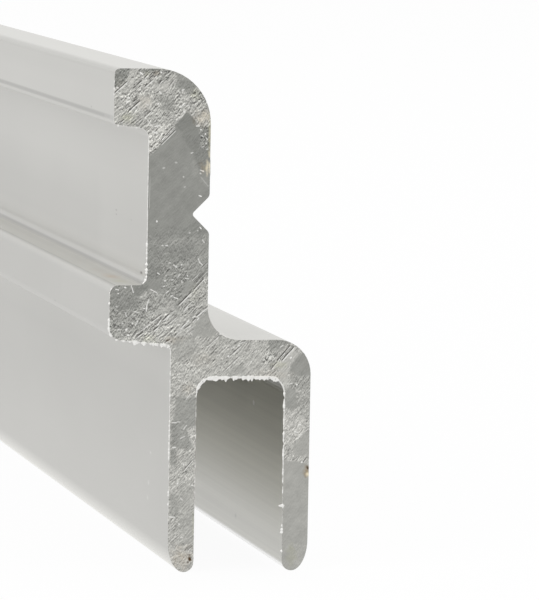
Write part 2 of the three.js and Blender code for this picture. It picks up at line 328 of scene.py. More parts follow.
# Each chip is a bright raised curl of metal
CHIPS = [
    # Head
    Mark((-4.33, 43.33), (-4.26, 43.38), 0.2, 1.0),
    Mark((-4.45, 42.97), (-4.35, 42.97), 0.19, 1.0),
    Mark((-5.38, 44.27), (-5.32, 44.27), 0.17, 0.8),
    Mark((-3.25, 45.65), (-3.03, 45.45), 0.15, 1.0),
    Mark((-1.33, 45.65), (-1.27, 45.65), 0.17, 1.0),
    Mark((-1.58, 42.8), (-1.52, 42.83), 0.17, 1.0),
    Mark((-2.65, 42.75), (-2.5, 42.72), 0.15, 0.6),
    Mark((0.6, 44.05), (0.83, 44.12), 0.14, 0.8),
    Mark((0.5, 42.5), (0.8, 42.78), 0.13, 0.8),
    Mark((0.8, 42.7), (1.4, 42.62), 0.1, 0.5),
    Mark((0.8, 42.1), (0.9, 42.14), 0.15, 0.9),
    Mark((0.15, 41.25), (0.95, 42.0), 0.1, 0.6),
    Mark((-1.2, 39.35), (0.0, 40.55), 0.08, 0.6),
    Mark((-1.95, 40.72), (-1.35, 40.88), 0.13, 0.8),
    Mark((-2.5, 41.35), (-2.15, 40.85), 0.1, 0.6),
    Mark((-2.0, 40.28), (-1.6, 40.15), 0.17, 0.7),
    Mark((-1.45, 43.95), (-1.3, 43.7), 0.12, 0.7),
    Mark((2.0, 40.8), (2.3, 40.82), 0.15, 0.7),
    # Web
    Mark((2.42, 40.5), (2.47, 40.5), 0.14, 0.9),
    Mark((2.85, 40.05), (2.88, 40.18), 0.12, 0.85),
    Mark((2.5, 39.95), (2.68, 39.85), 0.11, 0.8),
    Mark((2.97, 39.72), (3.05, 39.6), 0.12, 0.85),
    Mark((2.93, 39.2), (2.98, 39.27), 0.13, 0.75),
    Mark((2.45, 38.88), (2.75, 38.97), 0.11, 0.65),
    Mark((2.95, 38.7), (3.1, 38.72), 0.15, 0.5),
    Mark((1.55, 38.36), (1.75, 38.42), 0.11, 0.8),
    Mark((0.12, 37.5), (0.25, 37.5), 0.2, 0.35),
    Mark((-0.97, 37.0), (-0.88, 37.02), 0.2, 0.4),
    Mark((2.45, 36.82), (2.75, 36.7), 0.13, 0.9),
    Mark((2.43, 36.53), (2.5, 36.5), 0.14, 0.6),
    Mark((0.88, 36.2), (0.92, 36.22), 0.15, 0.5),
    Mark((1.0, 35.25), (1.05, 35.3), 0.17, 0.3),
    Mark((2.5, 36.2), (3.2, 35.35), 0.12, 0.2),
    Mark((2.35, 34.5), (2.6, 34.42), 0.13, 0.9),
    Mark((-1.53, 32.1), (-1.5, 32.2), 0.17, 1.0),
    Mark((2.5, 31.62), (2.6, 31.48), 0.14, 1.0),
    Mark((2.25, 31.3), (2.32, 31.28), 0.15, 0.5),
    Mark((1.5, 31.1), (1.6, 31.12), 0.15, 0.5),
    Mark((-1.0, 29.95), (-0.9, 29.95), 0.14, 0.6),
    Mark((-0.67, 29.95), (-0.5, 29.96), 0.14, 0.7),
    Mark((2.75, 30.45), (2.95, 30.2), 0.14, 0.5),
    Mark((2.4, 28.75), (2.5, 28.45), 0.12, 0.7),
    Mark((2.5, 28.45), (2.8, 28.17), 0.12, 0.7),
    Mark((-0.3, 28.37), (-0.2, 28.38), 0.17, 0.6),
    Mark((0.13, 28.17), (0.4, 28.0), 0.17, 0.6),
    Mark((0.83, 28.2), (0.87, 28.2), 0.16, 0.8),
    Mark((-0.25, 27.9), (-0.17, 27.9), 0.16, 0.5),
    Mark((-1.37, 27.46), (-1.15, 27.34), 0.11, 0.85),
    Mark((0.45, 27.05), (0.72, 27.3), 0.11, 0.65),
    Mark((1.4, 27.2), (1.44, 27.2), 0.16, 0.9),
    Mark((1.22, 26.95), (1.55, 26.93), 0.13, 0.6),
    Mark((-0.7, 26.73), (-0.62, 26.75), 0.14, 0.9),
    Mark((-0.1, 26.78), (0.08, 26.87), 0.11, 0.9),
    Mark((0.9, 26.75), (0.92, 26.6), 0.14, 0.6),
    Mark((-0.85, 26.2), (-0.5, 26.33), 0.11, 0.75),
    Mark((-2.0, 25.98), (-1.35, 25.62), 0.09, 0.85),
    Mark((-0.55, 25.6), (-0.33, 25.82), 0.11, 0.85),
    Mark((0.25, 25.98), (0.38, 26.04), 0.1, 0.75),
    Mark((0.15, 25.25), (0.55, 25.1), 0.1, 0.9),
    Mark((-0.1, 25.33), (0.05, 25.4), 0.15, 0.8),
    # Seat lip
    Mark((-3.78, 26.35), (-3.55, 25.65), 0.1, 0.75),
    Mark((-4.4, 26.15), (-4.3, 26.13), 0.17, 1.0),
    Mark((-5.2, 25.98), (-4.95, 25.93), 0.13, 0.9),
    Mark((-4.98, 25.6), (-4.92, 25.6), 0.15, 0.9),
    Mark((-5.15, 24.4), (-5.05, 24.4), 0.15, 0.5),
    Mark((-4.3, 23.85), (-4.15, 23.5), 0.14, 0.6),
    Mark((-2.57, 24.2), (-2.53, 24.22), 0.18, 1.0),
    Mark((-2.1, 25.1), (-2.3, 24.6), 0.12, 0.7),
    Mark((-2.3, 24.6), (-2.35, 24.0), 0.13, 0.9),
    Mark((-3.55, 23.97), (-3.0, 23.85), 0.12, 0.5),
    Mark((-3.6, 23.55), (-3.35, 23.6), 0.12, 0.5),
    Mark((-3.1, 23.15), (-3.35, 22.65), 0.13, 0.7),
    Mark((-3.55, 23.05), (-3.62, 22.85), 0.13, 0.6),
    Mark((-4.6, 22.92), (-4.5, 22.85), 0.15, 0.6),
    Mark((-4.2, 22.27), (-4.12, 22.37), 0.19, 0.9),
    Mark((-4.95, 22.3), (-4.8, 22.3), 0.14, 0.6),
    Mark((-4.03, 21.8), (-3.97, 21.8), 0.18, 1.0),
    Mark((-2.15, 23.65), (-1.65, 23.85), 0.12, 0.5),
    Mark((-3.42, 21.72), (-2.1, 22.85), 0.09, 0.6),
    Mark((-2.2, 21.0), (-0.4, 22.55), 0.09, 0.4),
    Mark((0.3, 21.5), (0.95, 22.35), 0.12, 0.5),
    Mark((-1.3, 22.7), (-0.98, 23.15), 0.13, 0.9),
    Mark((-0.55, 23.15), (0.0, 23.7), 0.1, 0.6),
    Mark((0.68, 22.72), (0.73, 22.77), 0.18, 0.7),
    Mark((0.95, 22.35), (1.25, 22.75), 0.13, 0.8),
    Mark((1.35, 22.8), (1.65, 23.15), 0.14, 0.9),
    Mark((1.5, 22.1), (1.95, 22.5), 0.1, 0.7),
    Mark((2.45, 23.55), (3.35, 24.25), 0.13, 0.8),
    Mark((2.4, 23.15), (2.55, 23.35), 0.13, 0.8),
    Mark((1.95, 23.38), (2.2, 23.52), 0.12, 0.8),
    Mark((1.15, 23.95), (1.5, 24.35), 0.12, 0.7),
    # Roof
    Mark((4.55, 21.85), (4.65, 21.95), 0.17, 1.0),
    Mark((4.25, 21.35), (4.4, 21.6), 0.12, 0.5),
    Mark((5.32, 19.8), (5.4, 19.87), 0.17, 0.9),
    Mark((5.75, 20.65), (5.85, 20.65), 0.15, 0.6),
    Mark((6.25, 20.78), (6.35, 20.82), 0.15, 0.7),
    Mark((7.45, 19.25), (7.55, 19.35), 0.15, 0.5),
    Mark((5.2, 18.6), (6.4, 19.75), 0.1, 0.4),
    Mark((10.2, 20.62), (10.45, 20.8), 0.14, 0.7),
    Mark((11.18, 19.62), (11.24, 19.68), 0.19, 1.0),
    Mark((11.78, 17.17), (11.84, 17.17), 0.16, 1.0),
    Mark((11.0, 17.22), (11.35, 17.25), 0.11, 0.7),
    Mark((9.0, 19.75), (9.6, 19.85), 0.1, 0.6),
    # Legs
    Mark((0.25, 13.77), (0.6, 13.77), 0.13, 0.8),
    Mark((0.7, 13.83), (0.95, 13.83), 0.12, 0.6),
    Mark((1.3, 13.15), (1.55, 13.5), 0.15, 0.5),
    Mark((1.0, 12.3), (1.4, 12.5), 0.14, 0.5),
    Mark((2.0, 12.6), (2.1, 12.6), 0.17, 0.6),
    Mark((0.3, 11.5), (0.6, 11.5), 0.13, 0.7),
    Mark((1.5, 15.9), (1.85, 16.4), 0.13, 0.5),
    Mark((1.28, 9.92), (1.34, 9.96), 0.16, 0.9),
    Mark((0.8, 8.15), (0.88, 8.25), 0.17, 0.9),
    Mark((2.15, 8.0), (2.25, 8.0), 0.15, 0.7),
    Mark((1.1, 6.85), (1.3, 6.65), 0.13, 0.5),
    Mark((0.05, 5.12), (0.6, 5.08), 0.13, 0.9),
    Mark((0.97, 4.45), (1.03, 4.45), 0.17, 0.8),
    Mark((1.2, 3.18), (1.35, 3.22), 0.15, 0.6),
    Mark((12.15, 13.47), (12.22, 13.5), 0.18, 0.9),
    Mark((11.7, 12.85), (11.95, 12.75), 0.14, 0.8),
    Mark((12.0, 12.2), (12.4, 12.6), 0.15, 0.5),
    Mark((12.37, 10.0), (12.45, 10.02), 0.17, 0.9),
]

# Each stain has its reach across and up
STAINS = {
    "rust": [
        Stain((2.6, 41.6), (1.2, 1.1), 0.22),
        Stain((1.8, 41.25), (0.25, 0.4), 0.38),
        Stain((2.72, 37.0), (0.45, 0.8), 0.36),
        Stain((-1.75, 45.65), (0.4, 0.35), 0.32),
        Stain((-5.15, 44.7), (0.5, 0.5), 0.1),
        Stain((0.1, 21.4), (1.4, 0.4), 0.2),
        Stain((9.4, 18.1), (2.2, 0.7), 0.12),
        Stain((3.0, 19.6), (1.5, 0.9), 0.1),
        Stain((-2.8, 43.0), (0.9, 0.9), 0.15),
        Stain((1.7, 16.9), (0.7, 0.7), 0.2),
        Stain((1.3, 1.4), (1.3, 1.3), 0.28),
        Stain((12.95, 9.1), (0.45, 0.6), 1.0),
    ],
    "olive": [
        Stain((-4.4, 41.6), (0.9, 0.7), 0.5),
        Stain((-2.6, 45.6), (0.4, 0.4), 0.35),
        Stain((1.9, 43.7), (0.6, 0.6), 0.45),
        Stain((-2.0, 21.5), (1.0, 0.5), 0.4),
        Stain((10.2, 19.0), (1.0, 0.4), 0.55),
        Stain((2.4, 4.1), (0.25, 1.8), 0.5),
        Stain((11.6, 1.5), (0.7, 1.3), 0.5),
        Stain((3.3, 40.0), (0.3, 2.4), 0.7),
        Stain((2.1, 25.6), (0.6, 1.2), 0.2),
    ],
    "cream": [
        Stain((3.08, 37.0), (0.2, 0.85), 1.0),
        Stain((3.3, 37.1), (0.14, 0.7), 1.2),
        Stain((2.8, 37.0), (0.4, 0.75), 0.12),
        Stain((3.3, 38.4), (0.15, 0.9), 0.5),
        Stain((3.3, 40.0), (0.17, 1.6), 0.4),
        Stain((2.75, 41.7), (0.8, 0.8), 0.18),
        Stain((13.0, 8.9), (0.2, 0.3), 0.8),
    ],
    "grime": [
        Stain((2.1, 1.2), (0.22, 0.2), 1.6),
        Stain((1.9, 0.93), (0.14, 0.12), 1.3),
        Stain((2.05, 1.6), (0.12, 0.12), 0.8),
        Stain((1.55, 1.35), (0.1, 0.08), 0.6),
        Stain((-0.35, 21.28), (0.3, 0.12), 0.5),
        Stain((13.0, 9.45), (0.18, 0.24), 1.3),
        Stain((2.62, 36.95), (0.06, 0.5), 0.25),
        Stain((2.9, 37.0), (0.06, 0.6), 0.25),
        Stain((3.21, 36.6), (0.06, 0.4), 0.45),
        Stain((2.8, 37.5), (0.2, 0.1), 0.25),
    ],
}

# Each burr lies in a box of the section, given by two corners, with its reach and how ragged it is
BURRS = [
    Burr((2.9, 17.0), (10.2, 18.2), 0.24, 0.5),
    Burr((2.3, 16.4), (3.4, 18.2), 0.22, 0.35),
    Burr((9.9, 16.4), (10.9, 18.2), 0.1, 0.35),
    Burr((2.3, 6.0), (2.9, 16.7), 0.11, 0.7),
    Burr((2.3, 0.4), (2.9, 6.4), 0.05, 0.6),
    Burr((10.3, 10.0), (10.9, 16.7), 0.1, 0.9),
    Burr((10.3, 7.0), (10.9, 10.4), 0.09, 0.7),
    Burr((10.3, 3.4), (10.9, 7.4), 0.03, 0.4),
    Burr((-0.3, 13.4), (0.4, 20.6), 0.05, 0.9),
    Burr((-0.3, 10.0), (0.4, 13.8), 0.08, 1.0),
    Burr((-0.3, 4.4), (0.4, 10.4), 0.03, 1.0),
    Burr((-6.2, 21.6), (-5.1, 23.4), 0.14, 0.5),
    Burr((-5.3, 20.6), (-3.8, 21.9), 0.08, 0.9),
    Burr((-4.0, 20.4), (0.2, 21.7), 0.15, 1.3),
    Burr((-6.2, 23.3), (-5.4, 26.5), 0.03, 1.0),
    Burr((-2.9, 26.4), (-2.1, 30.6), 0.06, 1.2),
    Burr((-2.6, 30.4), (-2.1, 40.5), 0.06, 0.35),
    Burr((-5.9, 40.2), (-2.0, 41.3), 0.05, 1.2),
    Burr((-5.9, 41.0), (-5.4, 45.5), 0.02, 1.2),
    Burr((3.5, 21.4), (5.4, 23.5), 0.05, 0.6),
    Burr((3.2, 36.2), (3.6, 37.8), 0.07, 0.3),
]

# Each fleck of burr has its place on the rim and its reach
BURR_FLECKS = [
    # Head
    Fleck((-5.6, 44.8), 0.06),
    Fleck((-5.6, 44.15), 0.09),
    Fleck((-5.6, 43.63), 0.07),
    Fleck((-5.5, 41.3), 0.08),
    Fleck((-4.4, 40.78), 0.07),
    Fleck((-3.5, 40.68), 0.11),
    Fleck((-2.9, 40.6), 0.08),
    # Web
    Fleck((-2.35, 30.1), 0.14),
    Fleck((-2.35, 29.95), 0.12),
    Fleck((-2.35, 29.6), 0.1),
    Fleck((-2.35, 29.25), 0.12),
    Fleck((-2.35, 28.8), 0.12),
    Fleck((-2.35, 28.25), 0.18),
    Fleck((-2.35, 27.75), 0.2),
    Fleck((-2.35, 27.5), 0.1),
    Fleck((-2.35, 27.1), 0.12),
    Fleck((-2.45, 26.8), 0.16),
    # Seat lip
    Fleck((-5.75, 24.7), 0.12),
    Fleck((-4.95, 21.3), 0.1),
    Fleck((-4.6, 21.3), 0.09),
    Fleck((-3.45, 21.2), 0.14),
    Fleck((-3.1, 21.18), 0.1),
    Fleck((-2.7, 21.12), 0.15),
    Fleck((-1.95, 21.07), 0.08),
    Fleck((-1.2, 20.98), 0.08),
    Fleck((-0.6, 20.92), 0.1),
    Fleck((-0.15, 20.85), 0.14),
    # Slot's ceiling
    Fleck((5.15, 17.9), 0.45),
    Fleck((5.9, 17.9), 0.36),
    Fleck((7.3, 17.9), 0.4),
    Fleck((7.6, 17.9), 0.42),
    # Legs
    Fleck((0.0, 16.2), 0.12),
    Fleck((0.0, 13.9), 0.1),
    Fleck((0.0, 13.5), 0.12),
    Fleck((0.0, 11.3), 0.12),
    Fleck((0.0, 10.9), 0.1),
    Fleck((0.0, 7.35), 0.12),
    Fleck((0.0, 7.1), 0.1),
    Fleck((0.0, 6.25), 0.12),
    Fleck((10.7, 6.0), 0.4),
    Fleck((10.7, 4.15), 0.12),
    Fleck((10.7, 3.8), 0.18),
    Fleck((10.7, 3.55), 0.22),
    Fleck((10.7, 1.8), 0.14),
]
BURR_INSET, BURR_FADE = 0.1, 0.3  # how far inside its box a burr is half its reach, and its fade's width
FLECK_SPREAD = 0.17  # how far round its place a fleck raises the burr
FLECK_FADE = 0.8  # width of a fleck's fade, as a share of its spread
STAIN_MARGIN = 1.5  # how far a ragged stain can run, as a share of its reach
FAINT_BURR = 0.12  # brightness of the least burr
FULL_BURR = 0.16  # the reach that makes a burr its brightest
RIM_SHARE = 0.45  # how far a burr's brightness runs in over the end, as a share of its reach
NARROWEST_RIM = 0.015  # brightness that runs in less than this is left out


# ---- Settings ----

FINE_LENGTH = {"unit": "LENGTH", "precision": 5}
COLOUR = {"subtype": "COLOR", "min": 0, "max": 1}


class BarSettings(bpy.types.PropertyGroup):
    """Finishes of the bar and the fineness of its ends."""

    near_cell: FloatProperty(
        name="Near end cell",
        description="Side of the cells that carry the near end's saw marks",
        default=0.07 * MM,
        **FINE_LENGTH,
    )
    far_cell: FloatProperty(
        name="Far end cell",
        description="Side of the cells that carry the far end's saw marks",
        default=0.2 * MM,
        **FINE_LENGTH,
    )
    mark_depth: FloatProperty(
        name="Saw mark depth",
        description="Height between the crests and the furrows of the plain saw marks",
        default=0.045 * MM,
        **FINE_LENGTH,
    )
    skin_colour: FloatVectorProperty(
        name="Skin colour",
        description="Colour of the anodised skin",
        default=(0.575, 0.57, 0.545),
        **COLOUR,
    )
    # Painted light: the skin inside the slot is painted lighter than outside, to lift the slot's shade
    slot_painted_light_colour: FloatVectorProperty(
        name="Slot colour",
        description="Colour of the skin inside the slot",
        default=(0.655, 0.65, 0.6),
        **COLOUR,
    )
    skin_roughness: FloatProperty(
        name="Skin roughness",
        description="Roughness of the anodised skin",
        default=0.45,
        min=0,
        max=1,
    )
    slot_roughness: FloatProperty(
        name="Slot roughness",
        description="Roughness of the skin inside the slot",
        default=0.3,
        min=0,
        max=1,
    )
    torn_colour: FloatVectorProperty(
        name="Torn metal colour",
        description="Colour of the sawn ends where the teeth tore the metal",
        default=(0.488, 0.484, 0.455),
        **COLOUR,
    )
    # The smooth cut is painted dark: a painted reflection of the dark side that its smooth metal mirrors
    smooth_colour: FloatVectorProperty(
        name="Smooth cut colour",
        description="Colour of the sawn ends where the teeth cut cleanly",
        default=(0.262, 0.265, 0.247),
        **COLOUR,
    )
    # Painted shade at the bottom of the deepest saw marks
    furrow_shade_colour: FloatVectorProperty(
        name="Furrow colour",
        description="Colour at the bottom of the deepest saw marks",
        default=(0.07, 0.068, 0.062),
        **COLOUR,
    )
    burr_colour: FloatVectorProperty(
        name="Burr colour",
        description="Colour of the thin metal pushed over the rim",
        default=(0.84, 0.835, 0.81),
        **COLOUR,
    )


class StageSettings(bpy.types.PropertyGroup):
    """The camera, the lamps and the floor."""

    lens: FloatProperty(
        name="Lens", description="Focal length of the camera", default=300, unit="CAMERA"
    )
    camera_place: FloatVectorProperty(
        name="Camera place",
        description="Where the camera stands",
        default=(-0.0982, -0.9417, 0.06998),
        subtype="XYZ",
        **FINE_LENGTH,
    )
    heading: FloatProperty(
        name="Heading",
        description="Angle of the camera's aim from +Y towards +X",
        default=math.radians(13.204),
        subtype="ANGLE",
    )
    tilt: FloatProperty(
        name="Tilt",
        description="Angle of the camera's aim below the level",
        default=math.radians(5.668),
        subtype="ANGLE",
    )
    roll: FloatProperty(
        name="Roll",
        description="Turn of the camera about its aim, anticlockwise from behind it",
        default=math.radians(1.06),
        subtype="ANGLE",
    )
    world_level: FloatProperty(
        name="World level", description="Brightness of the light from all round", default=0.6
    )
    top_power: FloatProperty(
        name="Top lamp", description="Power of the lamp overhead, in watts", default=10
    )
    left_power: FloatProperty(
        name="Left lamp", description="Power of the lamp on the left, in watts", default=7
    )
    floor_side: FloatProperty(
        name="Floor side", description="Side of the square floor", default=12, unit="LENGTH"
    )
    floor_colour: FloatVectorProperty(
        name="Floor colour", description="Colour of the floor", default=(0.9, 0.9, 0.9), **COLOUR
    )


# ---- Cutting the bar into cells ----


def bare_bar():
    """The bar as a closed mesh of two end faces and one long face for each side of the section."""
    bar = bmesh.new()
    bar.from_mesh(frame["nodes"][NODE].data)
    bmesh.ops.remove_doubles(bar, verts=bar.verts, dist=WELD)
    bmesh.ops.dissolve_limit(
        bar, angle_limit=FLAT_ANGLE, verts=bar.verts, edges=bar.edges, delimit=set()
    )
    for name in STORED:
        bar.verts.layers.float.new(name)
    return bar


def cut(bar, faces, axis, place):
    """Cuts the faces along the plane across an axis at a place, and returns the faces of both sides."""
    edges = {edge for face in faces for edge in face.edges}
    corners = {corner for face in faces for corner in face.verts}
    result = bmesh.ops.bisect_plane(
        bar, geom=[*corners, *edges, *faces], dist=SNAP, plane_co=axis * place, plane_no=axis
    )
    return [item for item in result["geom"] if isinstance(item, bmesh.types.BMFace)]


def cut_into_cells(bar, faces, axis, cell, first, last):
    """Cuts the faces along every plane between first and last, counted in cells, halving them each time."""
    if last - first < 2 or not faces:
        return faces
    middle = (first + last) // 2
    place = middle * cell
    both = cut(bar, faces, axis, place)
    below = [face for face in both if face.calc_center_median().dot(axis) < place]
    above = [face for face in both if face.calc_center_median().dot(axis) >= place]
    return cut_into_cells(bar, below, axis, cell, first, middle) + cut_into_cells(
        bar, above, axis, cell, middle, last
    )


def cut_end_into_cells(bar, end, inward, cell):
    """Grids one end and the short stretch of wall behind it."""
    low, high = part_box(NODE)
    depth = EDGE_ZONE + WELD
    faces = [
        face
        for face in bar.faces
        if all((corner.co.y - end) * inward < depth for corner in face.verts)
    ]
    for axis, start, stop in ((ACROSS, low.x, high.x), (UP, low.z, high.z)):
        first, last = math.floor(start / cell), math.ceil(stop / cell)
        faces = cut_into_cells(bar, faces, axis, cell, first, last)


# ---- The map laid out for baking the finishes on ----

MAP_NAME = "OFBake"
NEAR_END_ON_MAP = (0.02, 0.02, 0.0205)  # left, bottom, and map widths per millimetre
FAR_END_ON_MAP = (0.44, 0.02, 0.0100)
SIDES_ON_MAP = (0.66, 0.98)  # left and right
SIDES_BOTTOM, SIDES_TOP = 0.02, 0.98


def section_key(corner):
    """The corner's place in the section, in whole micrometres."""
    return round(corner.co.x / WELD), round(corner.co.z / WELD)


def outline_distances(bar):
    """How far round the outline each corner of the near end is, and the outline's whole length."""
    end_face = min(bar.faces, key=lambda face: face.calc_center_median().y)
    distances, distance = {}, 0.0
    for loop in end_face.loops:
        distances[section_key(loop.vert)] = distance
        distance += loop.edge.calc_length()
    return distances, distance


def along_map(y):
    """How far up the sides' part of the map a place along the bar is, from 0 to 1."""
    behind = y - NEAR_END
    if behind <= DETAIL_ZONE:
        return DETAIL_SHARE * behind / DETAIL_ZONE
    rest = (behind - DETAIL_ZONE) / (FAR_END - NEAR_END - DETAIL_ZONE)
    return DETAIL_SHARE + (1 - DETAIL_SHARE) * rest


def lay_end_on_map(face, layer, left_edge):
    """Lays a face of an end on the map, the near end large and the far end smaller."""
    left, bottom, size = NEAR_END_ON_MAP if face.normal.y < 0 else FAR_END_ON_MAP
    for loop in face.loops:
        across, up = (loop.vert.co.x - left_edge) / MM, loop.vert.co.z / MM
        loop[layer].uv = left + across * size, bottom + up * size


def lay_side_on_map(face, layer, distances, whole):
    """Lays a long face on the map, unrolled with the others in a strip."""
    left, right = SIDES_ON_MAP
    round_outline = [distances[section_key(loop.vert)] for loop in face.loops]
    crosses_seam = max(round_outline) - min(round_outline) > whole / 2
    for loop, distance in zip(face.loops, round_outline):
        if crosses_seam and distance == 0:
            distance = whole
        across = left + (right - left) * distance / whole
        up = SIDES_BOTTOM + (SIDES_TOP - SIDES_BOTTOM) * along_map(loop.vert.co.y)
        loop[layer].uv = across, up


def is_end(face):
    """Whether a face belongs to one of the bar's ends."""
    return abs(face.normal.y) > END_LEAN


def lay_map(bar):
    """Lays every face of the bar on the map."""
    layer = bar.loops.layers.uv.new(MAP_NAME)
    low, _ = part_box(NODE)
    distances, whole = outline_distances(bar)
    for face in bar.faces:
        if is_end(face):
            lay_end_on_map(face, layer, low.x)
        else:
            lay_side_on_map(face, layer, distances, whole)


# ---- Relief of the sawn ends ----

SKIN, SAWN, BURR = range(3)  # the mesh's materials


def limited(value):
    """The value kept between 0 and 1."""
    return min(max(value, 0), 1)


def soft_step(value, width):
    """0 well below zero, 1 well above it, and a smooth rise over the width around it."""
    share = limited(value / width + 0.5)
    return share * share * (3 - 2 * share)


def from_segment(place, start, end):
    """How far a place is from a segment, and on which side: left of its direction is positive."""
    along, off = end - start, place - start
    share = limited(along.dot(off) / along.length_squared)
    side = 1 if along.x * off.y > along.y * off.x else -1
    return (off - along * share).length, side


def depth_inside(outline, place):
    """How far a place lies inside an outline, in millimetres. It is negative outside."""
    nearest, inside = math.inf, False
    for start, end in zip(outline, outline[1:] + outline[:1]):
        nearest = min(nearest, from_segment(place, start, end)[0])
        if (start.y > place.y) != (end.y > place.y):
            crossing = start.x + (end.x - start.x) * (place.y - start.y) / (end.y - start.y)
            inside ^= crossing > place.x
    return nearest if inside else -nearest


def wander(place, waves):
    """Smooth noise over the section, the sum of its waves."""
    return sum(
        strength * noise.noise(Vector((place.x * fineness, place.y * fineness, seed)))
        for strength, fineness, seed in waves
    )


def section_place(corner):
    """Where a corner is in the section, in millimetres."""
    return Vector(((corner.co.x - LEG_FACE) / MM, corner.co.z / MM))


def along_strokes(place):
    """The place along the saw's strokes and across them, in millimetres."""
    level = place.y - STROKE_SLOPE * place.x - STROKE_BEND * place.x * place.x / 2
    return Vector((place.x * math.hypot(1, STROKE_SLOPE), level / math.hypot(1, STROKE_SLOPE)))


def torn_relief(place):
    """Height of the torn metal between the furrows, from about -1 to 1."""
    along, over = along_strokes(place)
    strokes = sum(
        strength * noise.noise(Vector((along * fine_along, over * fine_across, seed)))
        for strength, fine_along, fine_across, seed in TORN_STROKES
    )
    return strokes + wander(place, CURL_WAVES)


class SawnEnd:
    """The corners of one end, and what the saw did at each."""

    def __init__(self, bar, end, cut_as):
        self.corners = [corner for corner in bar.verts if abs(corner.co.y - end) < WELD]
        self.places = [section_place(corner) for corner in self.corners]
        light, tearing, curls = cut_as
        plain = {
            "light": light,
            "tearing": tearing,
            "curls": curls,
            "furrow_depth": 0.0,
            "furrow_offset": FAR_FROM_FURROWS,
            "chip_cover": OUTSIDE_CHIPS,
            "chip_strength": 0.0,
        }
        self.values = {name: [value] * len(self.corners) for name, value in plain.items()}
        strokes = [along_strokes(place) for place in self.places]
        self.values["along_strokes"] = [stroke.x for stroke in strokes]
        self.values["across_strokes"] = [stroke.y for stroke in strokes]
        self.furrow_distance = [FURROW_REACH] * len(self.corners)
        self.tree = KDTree(len(self.corners))
        for index, place in enumerate(self.places):
            self.tree.insert(place.to_3d(), index)
        self.tree.balance()

    def near(self, outline, margin):
        """The indices of the corners within a margin of the circle round an outline."""
        centre = sum(outline, Vector((0, 0))) / len(outline)
        reach = max((corner - centre).length for corner in outline) + margin
        return [index for _, index, _ in self.tree.find_range(centre.to_3d(), reach)]

    def lay_area(self, area):
        """Fades the area's light, tearing and curls in over its outline."""
        outline = [Vector(corner) for corner in area.outline]
        for index in self.near(outline, area.edge):
            place = self.places[index]
            inside = depth_inside(outline, place)
            if inside < -area.edge:
                continue
            ragged = area.edge * wander(place, AREA_WAVES)
            share = soft_step(inside + ragged, area.edge)
            for name in ("light", "tearing", "curls"):
                values = self.values[name]
                values[index] += share * (getattr(area, name) - values[index])

    def lay_furrow(self, furrow):
        """Keeps how deep the nearest furrow is, fading towards its ends, and how far off it is."""
        start, end = Vector(furrow.start), Vector(furrow.end)
        length = (end - start).length
        for index in self.near([start, end], FURROW_REACH):
            place = self.places[index]
            distance, side = from_segment(place, start, end)
            if distance >= self.furrow_distance[index]:
                continue
            self.furrow_distance[index] = distance
            along = (place - start).dot(end - start) / length
            taper = limited(min(along, length - along) / FURROW_TAPER)
            uneven = 1 + wander(place, FURROW_WAVES)
            self.values["furrow_offset"][index] = side * distance / furrow.width * 2
            self.values["furrow_depth"][index] = furrow.strength * taper * uneven

    def cover_with_chip(self, index, cover, strength):
        """Keeps a chip's cover and strength at a corner if no other chip covers it more."""
        if cover > self.values["chip_cover"][index]:
            self.values["chip_cover"][index] = cover
            self.values["chip_strength"][index] = strength

    def lay_chip(self, chip):
        """Keeps how far inside the nearest chip each corner is, as a share of the chip's half width."""
        start, end = Vector(chip.start), Vector(chip.end)
        for index in self.near([start, end], 2 * chip.width):
            place = self.places[index]
            distance, _ = from_segment(place, start, end)
            cover = 1 - distance / chip.width * 2 + wander(place, CHIP_WAVES)
            self.cover_with_chip(index, cover, chip.strength)

    def light_rim(self):
        """Carries the burr's brightness a little way in from the rim, as a chip does."""
        rim = [
            place
            for place, corner in zip(self.places, self.corners)
            if any(face.material_index != SAWN for face in corner.link_faces)
        ]
        for edge_place in rim:
            width = RIM_SHARE * burr_reach(edge_place)
            if width < NARROWEST_RIM:
                continue
            strength = min(width / RIM_SHARE / FULL_BURR, 1)
            for _, index, distance in self.tree.find_range(edge_place.to_3d(), 2 * width):
                cover = 1 - distance / width + wander(self.places[index], RIM_WAVES)
                self.cover_with_chip(index, cover, strength)

    def lay_stains(self, name, stains):
        """Keeps how strongly each corner has one kind of stain."""
        values = [0.0] * len(self.corners)
        for stain in stains:
            middle = Vector(stain.centre)
            across, up = stain.reach
            for _, index, _ in self.tree.find_range(middle.to_3d(), STAIN_MARGIN * max(stain.reach)):
                off = self.places[index] - middle
                out = math.hypot(off.x / across, off.y / up)
                ragged = wander(self.places[index], STAIN_WAVES)
                values[index] = max(values[index], stain.strength * limited(1 + ragged - out))
        self.values[name] = values


def store(bar, name, corners, values):
    """Keeps a value for each corner under a name that the finish reads."""
    layer = bar.verts.layers.float[name]
    for corner, value in zip(corners, values):
        corner[layer] = value


def raise_saw_marks(bar, sawn, inward, mark_depth):
    """Moves an end's corners in and out by the saw's relief, and stores what the finish needs of it."""
    values = sawn.values
    values["tone"] = []
    for index, (place, corner) in enumerate(zip(sawn.places, sawn.corners)):
        torn = values["tearing"][index] * torn_relief(place)
        # The torn relief's height is kept as tone, which the finish paints as light on the crests
        values["tone"].append(torn)
        furrow = values["furrow_depth"][index] * max(1 - abs(values["furrow_offset"][index]), 0)
        chip = values["chip_strength"][index] * max(values["chip_cover"][index], 0)
        height = TORN_HEIGHT * torn + FURROW_HEIGHT * furrow + CHIP_HEIGHT * chip
        corner.co.y -= inward * height * mark_depth
    for name, kept in values.items():
        store(bar, name, sawn.corners, kept)


